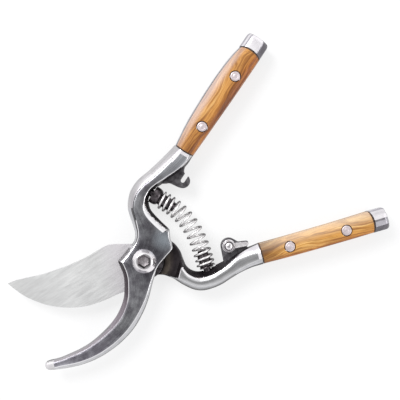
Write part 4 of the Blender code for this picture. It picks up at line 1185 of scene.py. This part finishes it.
def blade_mesh():
    rows = catmull([list(r) for r in BLADE_ROWS], 10)
    for k in range(1, 26):
        a = math.radians(110 - 104 * k / 25.0)
        x, y = 10.0 * math.cos(a), 10.0 * math.sin(a)
        rows.append([x, y, x, -y])
    rings = []
    for lx, ly, rx, ry in rows:
        left, right = Vector((lx, ly)), Vector((rx, ry))
        wide = (right - left).length
        across = (right - left) / wide
        ground = max(0.0, min(1.0, (-8.0 - rx) / 8.0))
        bevel = min(5.0, 0.55 * wide)
        back = BLADE_TOP_Z - BLADE_THICK
        thin = (BLADE_THICK - 0.3) * ground + 0.35 * (1 - ground)
        if wide < 9.0:
            back = BLADE_TOP_Z - max(0.5, BLADE_THICK * (wide / 9.0))
            thin = (BLADE_TOP_Z - back) * 0.6
        c = min(0.25, 0.12 * wide)
        width = 0.3 + bevel * ground
        pts = [(left, c, BLADE_TOP_Z)]
        for k in range(1, 6):
            pts.append((left, c + (wide - 2 * c) * k / 6, BLADE_TOP_Z))
        pts += [(right, c, BLADE_TOP_Z), (right, 0.03, BLADE_TOP_Z - 0.12), (right, 0.0, back + thin)]
        for k in range(1, 4):
            pts.append((right, width * k / 4, back + thin * (1 - k / 4)))
        pts += [(right, width, back), (left, min(c, wide / 3), back), (left, 0.0, back + 0.3 * (BLADE_TOP_Z - back)), (left, 0.0, BLADE_TOP_Z - min(0.25, c))]
        ring = []
        for base, inset, z in pts:
            q = base + across * inset if base is left else base - across * inset
            ring.append((q.x, q.y, z))
        rings.append(ring)
    # The blade's root by the pivot, under the hook lever, takes the dark steel as painted shade.
    return skin(rings, mats=lambda ring, strip: 1 if rows[ring][0] > -3.5 else 0)


blade = finish_mesh("blade_ground", blade_mesh(), FRAMES["blade"], [BLADE_MAT, PAINTED_SHADE_STEEL], 25)
blade_bores = finish_mesh("bores", merge(prism(circle(0, 0, 4.8, 64), -4, 20), prism(circle(*TOE, 2.2, 32), -4, 20)), FRAMES["blade"], [BLADE_MAT], 0)
cut(blade, [(blade_bores, "DIFFERENCE")], 25)
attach(blade, "blade_arm")
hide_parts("blade")

# ------------------------------------------------------------------ pivot
head0, head1 = HOOK_TOP_Z + GAP, 18.0
head = [
    (3.0, head0), (6.0, head0), (6.22, head0 + 0.12), (6.3, head0 + 0.3), (6.28, head0 + 0.75), (6.1, head0 + 1.05), (5.6, head0 + 1.6),
    (4.85, head1 - 0.75), (4.5, head1 - 0.35), (4.2, head1 - 0.1), (3.95, head1), (0, head1),
]
profile = [(0, 0.0), (2.7, 0.0), (3.0, 0.3)] + head
bolt = finish_mesh("pivot_bolt_turned", turned(profile, 96), FRAMES["blade"], [BRIGHT, SOCKET_PAINTED_SHADE, SOCKET_FLOOR], 30)
hex_top, hex_low = 3.62, 2.6


def socket_cutter():
    """Hexagonal socket with sloping walls; three neighbouring walls take near-black steel as painted shade, the other
    walls and the floor a lighter steel.
    """
    bm = bmesh.new()
    turns = [math.radians(14.1 + 60 * k) for k in range(6)]
    levels = [(hex_top, head1 + 1.0), (hex_top, head1 - 0.35), (hex_low, head1 - 2.4)]
    rings = [[bm.verts.new((r * math.cos(a), r * math.sin(a), z)) for a in turns] for r, z in levels]
    low = bm.verts.new((0, 0, head1 - 3.0))
    bm.faces.new(rings[0][::-1])
    for upper, lower in zip(rings, rings[1:]):
        for i in range(6):
            j = (i + 1) % 6
            face = bm.faces.new((upper[i], upper[j], lower[j], lower[i]))
            face.material_index = 1 if i in (3, 4, 5) else 2
    for i in range(6):
        bm.faces.new((rings[2][i], rings[2][(i + 1) % 6], low)).material_index = 2
    return bm


socket = finish_mesh("socket", socket_cutter(), FRAMES["blade"], [BRIGHT, SOCKET_PAINTED_SHADE, SOCKET_FLOOR], 0)
cut(bolt, [(socket, "DIFFERENCE")], 30)
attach(bolt, "blade_arm")
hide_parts("pivot_bolt")

nut_r = 5.0 / math.cos(math.pi / 6)
nut = finish_mesh("pivot_nut_hex", soft_prism([p for k in range(6) for p in (circle(0, 0, nut_r, 6, math.radians(10))[k],)], 0.0, 2.8, 0.3, 3), FRAMES["blade"], [BRIGHT], 30)
nut_bore = finish_mesh("bore", prism(circle(0, 0, 3.3, 64), -2, 6), FRAMES["blade"], [BRIGHT], 0)
cut(nut, [(nut_bore, "DIFFERENCE")], 30)
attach(nut, "blade_arm")
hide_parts("pivot_nut")

for label, profile in (
    ("pivot_washer", [(3.3, 3.15), (3.4, 3.1), (6.5, 3.1), (6.6, 3.2), (6.6, 3.6), (6.5, 3.7), (3.4, 3.7), (3.3, 3.65)]),
    ("pivot_bushing", [(3.3, 4.0), (4.4, 4.0), (4.5, 4.1), (4.5, 14.1), (4.4, 14.2), (3.3, 14.2)]),
):
    obj = finish_mesh(label + "_turned", turned(profile, 72, ring=True), FRAMES["blade"], [BRIGHT], 30)
    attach(obj, "blade_arm")
    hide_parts(label)

profile = [(0, 2.7), (2.4, 2.75), (2.85, 2.95), (3.1, 3.25), (3.1, 3.7), (1.9, 3.7), (1.9, 9.05), (1.8, 9.15), (0, 9.15)]
obj = finish_mesh("blade_rivet_turned", placed(turned(profile, 48), Matrix.Translation((*TOE, 0))), FRAMES["blade"], [BRIGHT], 30)
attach(obj, "blade_arm")
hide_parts("blade_rivet")


# ------------------------------------------------------------------ latch
def latch_mesh():
    eye_r, h0, h1, arm = 3.4, 1.75, 1.5, 8.9
    start = math.asin(h0 / eye_r)
    outline = []
    for i in range(61):
        a = start + (2 * math.pi - 2 * start) * i / 60
        outline.append((eye_r * math.cos(a), eye_r * math.sin(a)))
    for i in range(1, 10):
        t = i / 10
        outline.append((2.9 + (arm - 2.9) * t, -(h0 + (h1 - h0) * t)))
    for i in range(25):
        a = -math.pi / 2 + math.pi * i / 24
        outline.append((arm + h1 * math.cos(a), h1 * math.sin(a)))
    for i in range(1, 10):
        t = i / 10
        outline.append((arm + (2.9 - arm) * t, h1 + (h0 - h1) * t))
    # The bar's upper side face and rounded top edge take the dark lug steel as painted shade.
    return soft_prism(outline, 10.3, 12.1, 0.55, 4, mats=lambda ring, strip: 1 if strip > 84 and ring > 3 else 0)


latch = finish_mesh("latch_lever_forged", latch_mesh(), FRAMES["latch"], [LATCH_MAT, LUG_MAT], 35)
holes = [prism(circle(0, 0, 1.8, 40), 5, 16, 1)]
for k in range(4):                      # thumb serrations on the outer edge
    holes.append(prism(circle(3.9 + 0.95 * k, 2.05, 0.42, 16), 9, 14, 1))
holes = finish_mesh("holes", merge(*holes), FRAMES["latch"], [LATCH_MAT, LUG_MAT], 0)
cut(latch, [(holes, "DIFFERENCE")], 35)
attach(latch, "latch")
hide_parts("latch_lever")

profile = [(0, 5.6), (0.5, 5.6), (0.65, 5.75), (0.65, 10.2), (0.6, 10.28), (0, 10.28)]
obj = finish_mesh("latch_cross_pin_turned", placed(turned(profile, 32), Matrix.Translation((8.9, 0, 0))), FRAMES["latch"], [BRIGHT], 30)
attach(obj, "latch")
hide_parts("latch_cross_pin")

profile = [
    (0, 2.6), (1.35, 2.6), (1.5, 2.75), (1.5, 13.2), (2.75, 13.2), (2.9, 13.32), (2.9, 13.5), (2.75, 13.68), (2.45, 13.75), (2.2, 13.62), (2.0, 13.62),
    (1.85, 13.8), (1.6, 14.1), (1.2, 14.32), (0.7, 14.45), (0, 14.5),
]


# The groove rings round the latch rivet's dome take the dark steel as painted shade.
def rivet_mats(k):
    return 1 if k in (8, 9, 10) else 0


obj = finish_mesh("latch_rivet_domed", placed(turned(profile, 64, mats=rivet_mats), Matrix.Translation((*LATCH_AT, 0))), FRAMES["blade"], [BRIGHT, PAINTED_SHADE_STEEL], 30)
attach(obj, "blade_arm")
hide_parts("latch_rivet")
profile = [(1.8, 12.45), (1.85, 12.4), (3.0, 12.4), (3.1, 12.5), (3.1, 12.8), (3.0, 12.9), (1.85, 12.9), (1.8, 12.85)]
obj = finish_mesh("latch_washer_turned", placed(turned(profile, 64, ring=True), Matrix.Translation((*LATCH_AT, 0))), FRAMES["blade"], [BRIGHT], 30)
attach(obj, "blade_arm")
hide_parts("latch_washer")


# ------------------------------------------------------------------ spring
def turn(point, angle):
    c, s = math.cos(angle), math.sin(angle)
    return Vector((point[0] * c - point[1] * s, point[0] * s + point[1] * c, 0.0))


def spring_line():
    out = 0.9
    start = turn((PEG_X["hook"], 15.8 - 4.4 - out), HALF_OPEN)
    end = turn((PEG_X["blade"], -12.6 - 0.15 + out), -HALF_OPEN)
    d0, d1 = turn((0, -1), HALF_OPEN), turn((0, 1), -HALF_OPEN)
    run = 5.5
    a, b = start + d0 * run, end + d1 * run
    h = (b - a).length * 0.36
    pts = [start + d0 * (run * i / 12) for i in range(12)]
    for i in range(81):
        t = i / 80
        pts.append(a * (1 - t) ** 3 + (a + d0 * h) * 3 * t * (1 - t) ** 2 + (b + d1 * h) * 3 * t * t * (1 - t) + b * t ** 3)
    pts += [end + d1 * (run * (11 - i) / 12) for i in range(12)]
    return pts


def spring_mesh(per_turn=48, sides=12, turns_total=13, mean_r=4.45, wire=0.58, spread=0.24):
    pts = spring_line()
    lengths = [0.0]
    for p, q in zip(pts, pts[1:]):
        lengths.append(lengths[-1] + (q - p).length)
    total = lengths[-1]

    def at(s):
        s = max(0.0, min(total, s))
        k = 0
        while k < len(lengths) - 2 and lengths[k + 1] < s:
            k += 1
        t = (s - lengths[k]) / (lengths[k + 1] - lengths[k])
        return pts[k].lerp(pts[k + 1], t), (pts[min(k + 2, len(pts) - 1)] - pts[max(k - 1, 0)]).normalized()

    steps = turns_total * per_turn
    line, outs = [], []
    for i in range(steps + 1):
        turns, u = i / per_turn, i / steps
        p, d = at(total * (u - spread * math.sin(2 * math.pi * u) / (2 * math.pi)))
        side = Vector((-d.y, d.x, 0.0))
        a = 2 * math.pi * turns
        r = side * math.cos(a) + Vector((0, 0, 1)) * math.sin(a)
        line.append(p + Vector((0, 0, MID_Z)) + r * mean_r)
        outs.append(r)
    rings = []
    for i, p in enumerate(line):
        along = (line[min(i + 1, steps)] - line[max(i - 1, 0)]).normalized()
        out = (outs[i] - along * outs[i].dot(along)).normalized()
        up = along.cross(out)
        w = wire * min(1.0, 0.75 + 0.25 * min(i, steps - i) / 4)
        rings.append([p + out * w * math.cos(2 * math.pi * k / sides) + up * w * math.sin(2 * math.pi * k / sides) for k in range(sides)])
    bm = skin(rings)
    # Painted shade: wire faces turned sideways take the dark flank steel, the upward faces the bright wire steel as
    # painted highlight.
    for face in bm.faces:
        face.normal_update()
        face.material_index = 1 if abs(face.normal.z) < 0.55 else 0
    return bm


spring = finish_mesh("coil_spring_wire", spring_mesh(), Matrix.Identity(4), [SPRING_MAT, SPRING_FLANK_PAINTED_SHADE], 60)
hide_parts("coil_spring")
line = spring_line()
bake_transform(spring)

# ------------------------------------------------------------------ floor, light
floor_mesh = bpy.data.meshes.new("floor")
size = 6.0
floor_mesh.from_pydata([(-size, -size, -0.0002), (size, -size, -0.0002), (size, size, -0.0002), (-size, size, -0.0002)], [], [(0, 1, 2, 3)])
floor = bpy.data.objects.new("floor", floor_mesh)
bpy.context.scene.collection.objects.link(floor)
n = Nodes("floor_white")
n.bsdf.inputs["Base Color"].default_value = (0.22, 0.22, 0.222, 1.0)
n.bsdf.inputs["Emission Color"].default_value = (1.0, 1.0, 1.0, 1.0)
n.bsdf.inputs["Emission Strength"].default_value = 0.73
n.bsdf.inputs["Roughness"].default_value = 0.9
n.bsdf.inputs["Specular IOR Level"].default_value = 0.1
floor_mesh.materials.append(n.mat)

world = bpy.data.worlds.new("studio")
bpy.context.scene.world = world
world.use_nodes = True
tree = world.node_tree
back = tree.nodes["Background"]
where = tree.nodes.new("ShaderNodeTexCoord")
split = tree.nodes.new("ShaderNodeSeparateXYZ")
tree.links.new(where.outputs["Generated"], split.inputs[0])
ramp = tree.nodes.new("ShaderNodeValToRGB")
stops = [(0.0, 0.85), (0.30, 1.0), (0.62, 1.05), (0.80, 0.75), (0.92, 0.42), (1.0, 0.30)]
while len(ramp.color_ramp.elements) < len(stops):
    ramp.color_ramp.elements.new(0.5)
for element, (at, value) in zip(ramp.color_ramp.elements, stops):
    element.position = at
    element.color = (value, value, value * 1.01, 1.0)
tree.links.new(split.outputs["Z"], ramp.inputs["Fac"])
tree.links.new(ramp.outputs["Color"], back.inputs["Color"])
back.inputs["Strength"].default_value = 1.0


def area_light(name, towards, height, distance, size, power, colour=(1, 1, 1)):
    """towards is measured in the photograph: right, up."""
    right = Vector((math.cos(VIEW_TURN), math.sin(VIEW_TURN), 0))
    up = Vector((-math.sin(VIEW_TURN), math.cos(VIEW_TURN), 0))
    centre = Vector((0.042, 0.0085, 0.0))
    data = bpy.data.lights.new(name, "AREA")
    data.shape = "DISK"
    data.size = size
    data.energy = power
    data.color = colour
    obj = bpy.data.objects.new(name, data)
    obj.location = centre + (right * towards[0] + up * towards[1]).normalized() * distance + Vector((0, 0, height))
    obj.rotation_euler = (centre - obj.location).to_track_quat("-Z", "Y").to_euler()
    bpy.context.scene.collection.objects.link(obj)
    return obj


area_light("key", (-0.7, 0.75), 0.95, 0.85, 0.7, 13.0)
area_light("fill", (0.9, -0.2), 0.8, 1.1, 0.9, 5.0)

bpy.context.scene.view_settings.view_transform = "Standard"
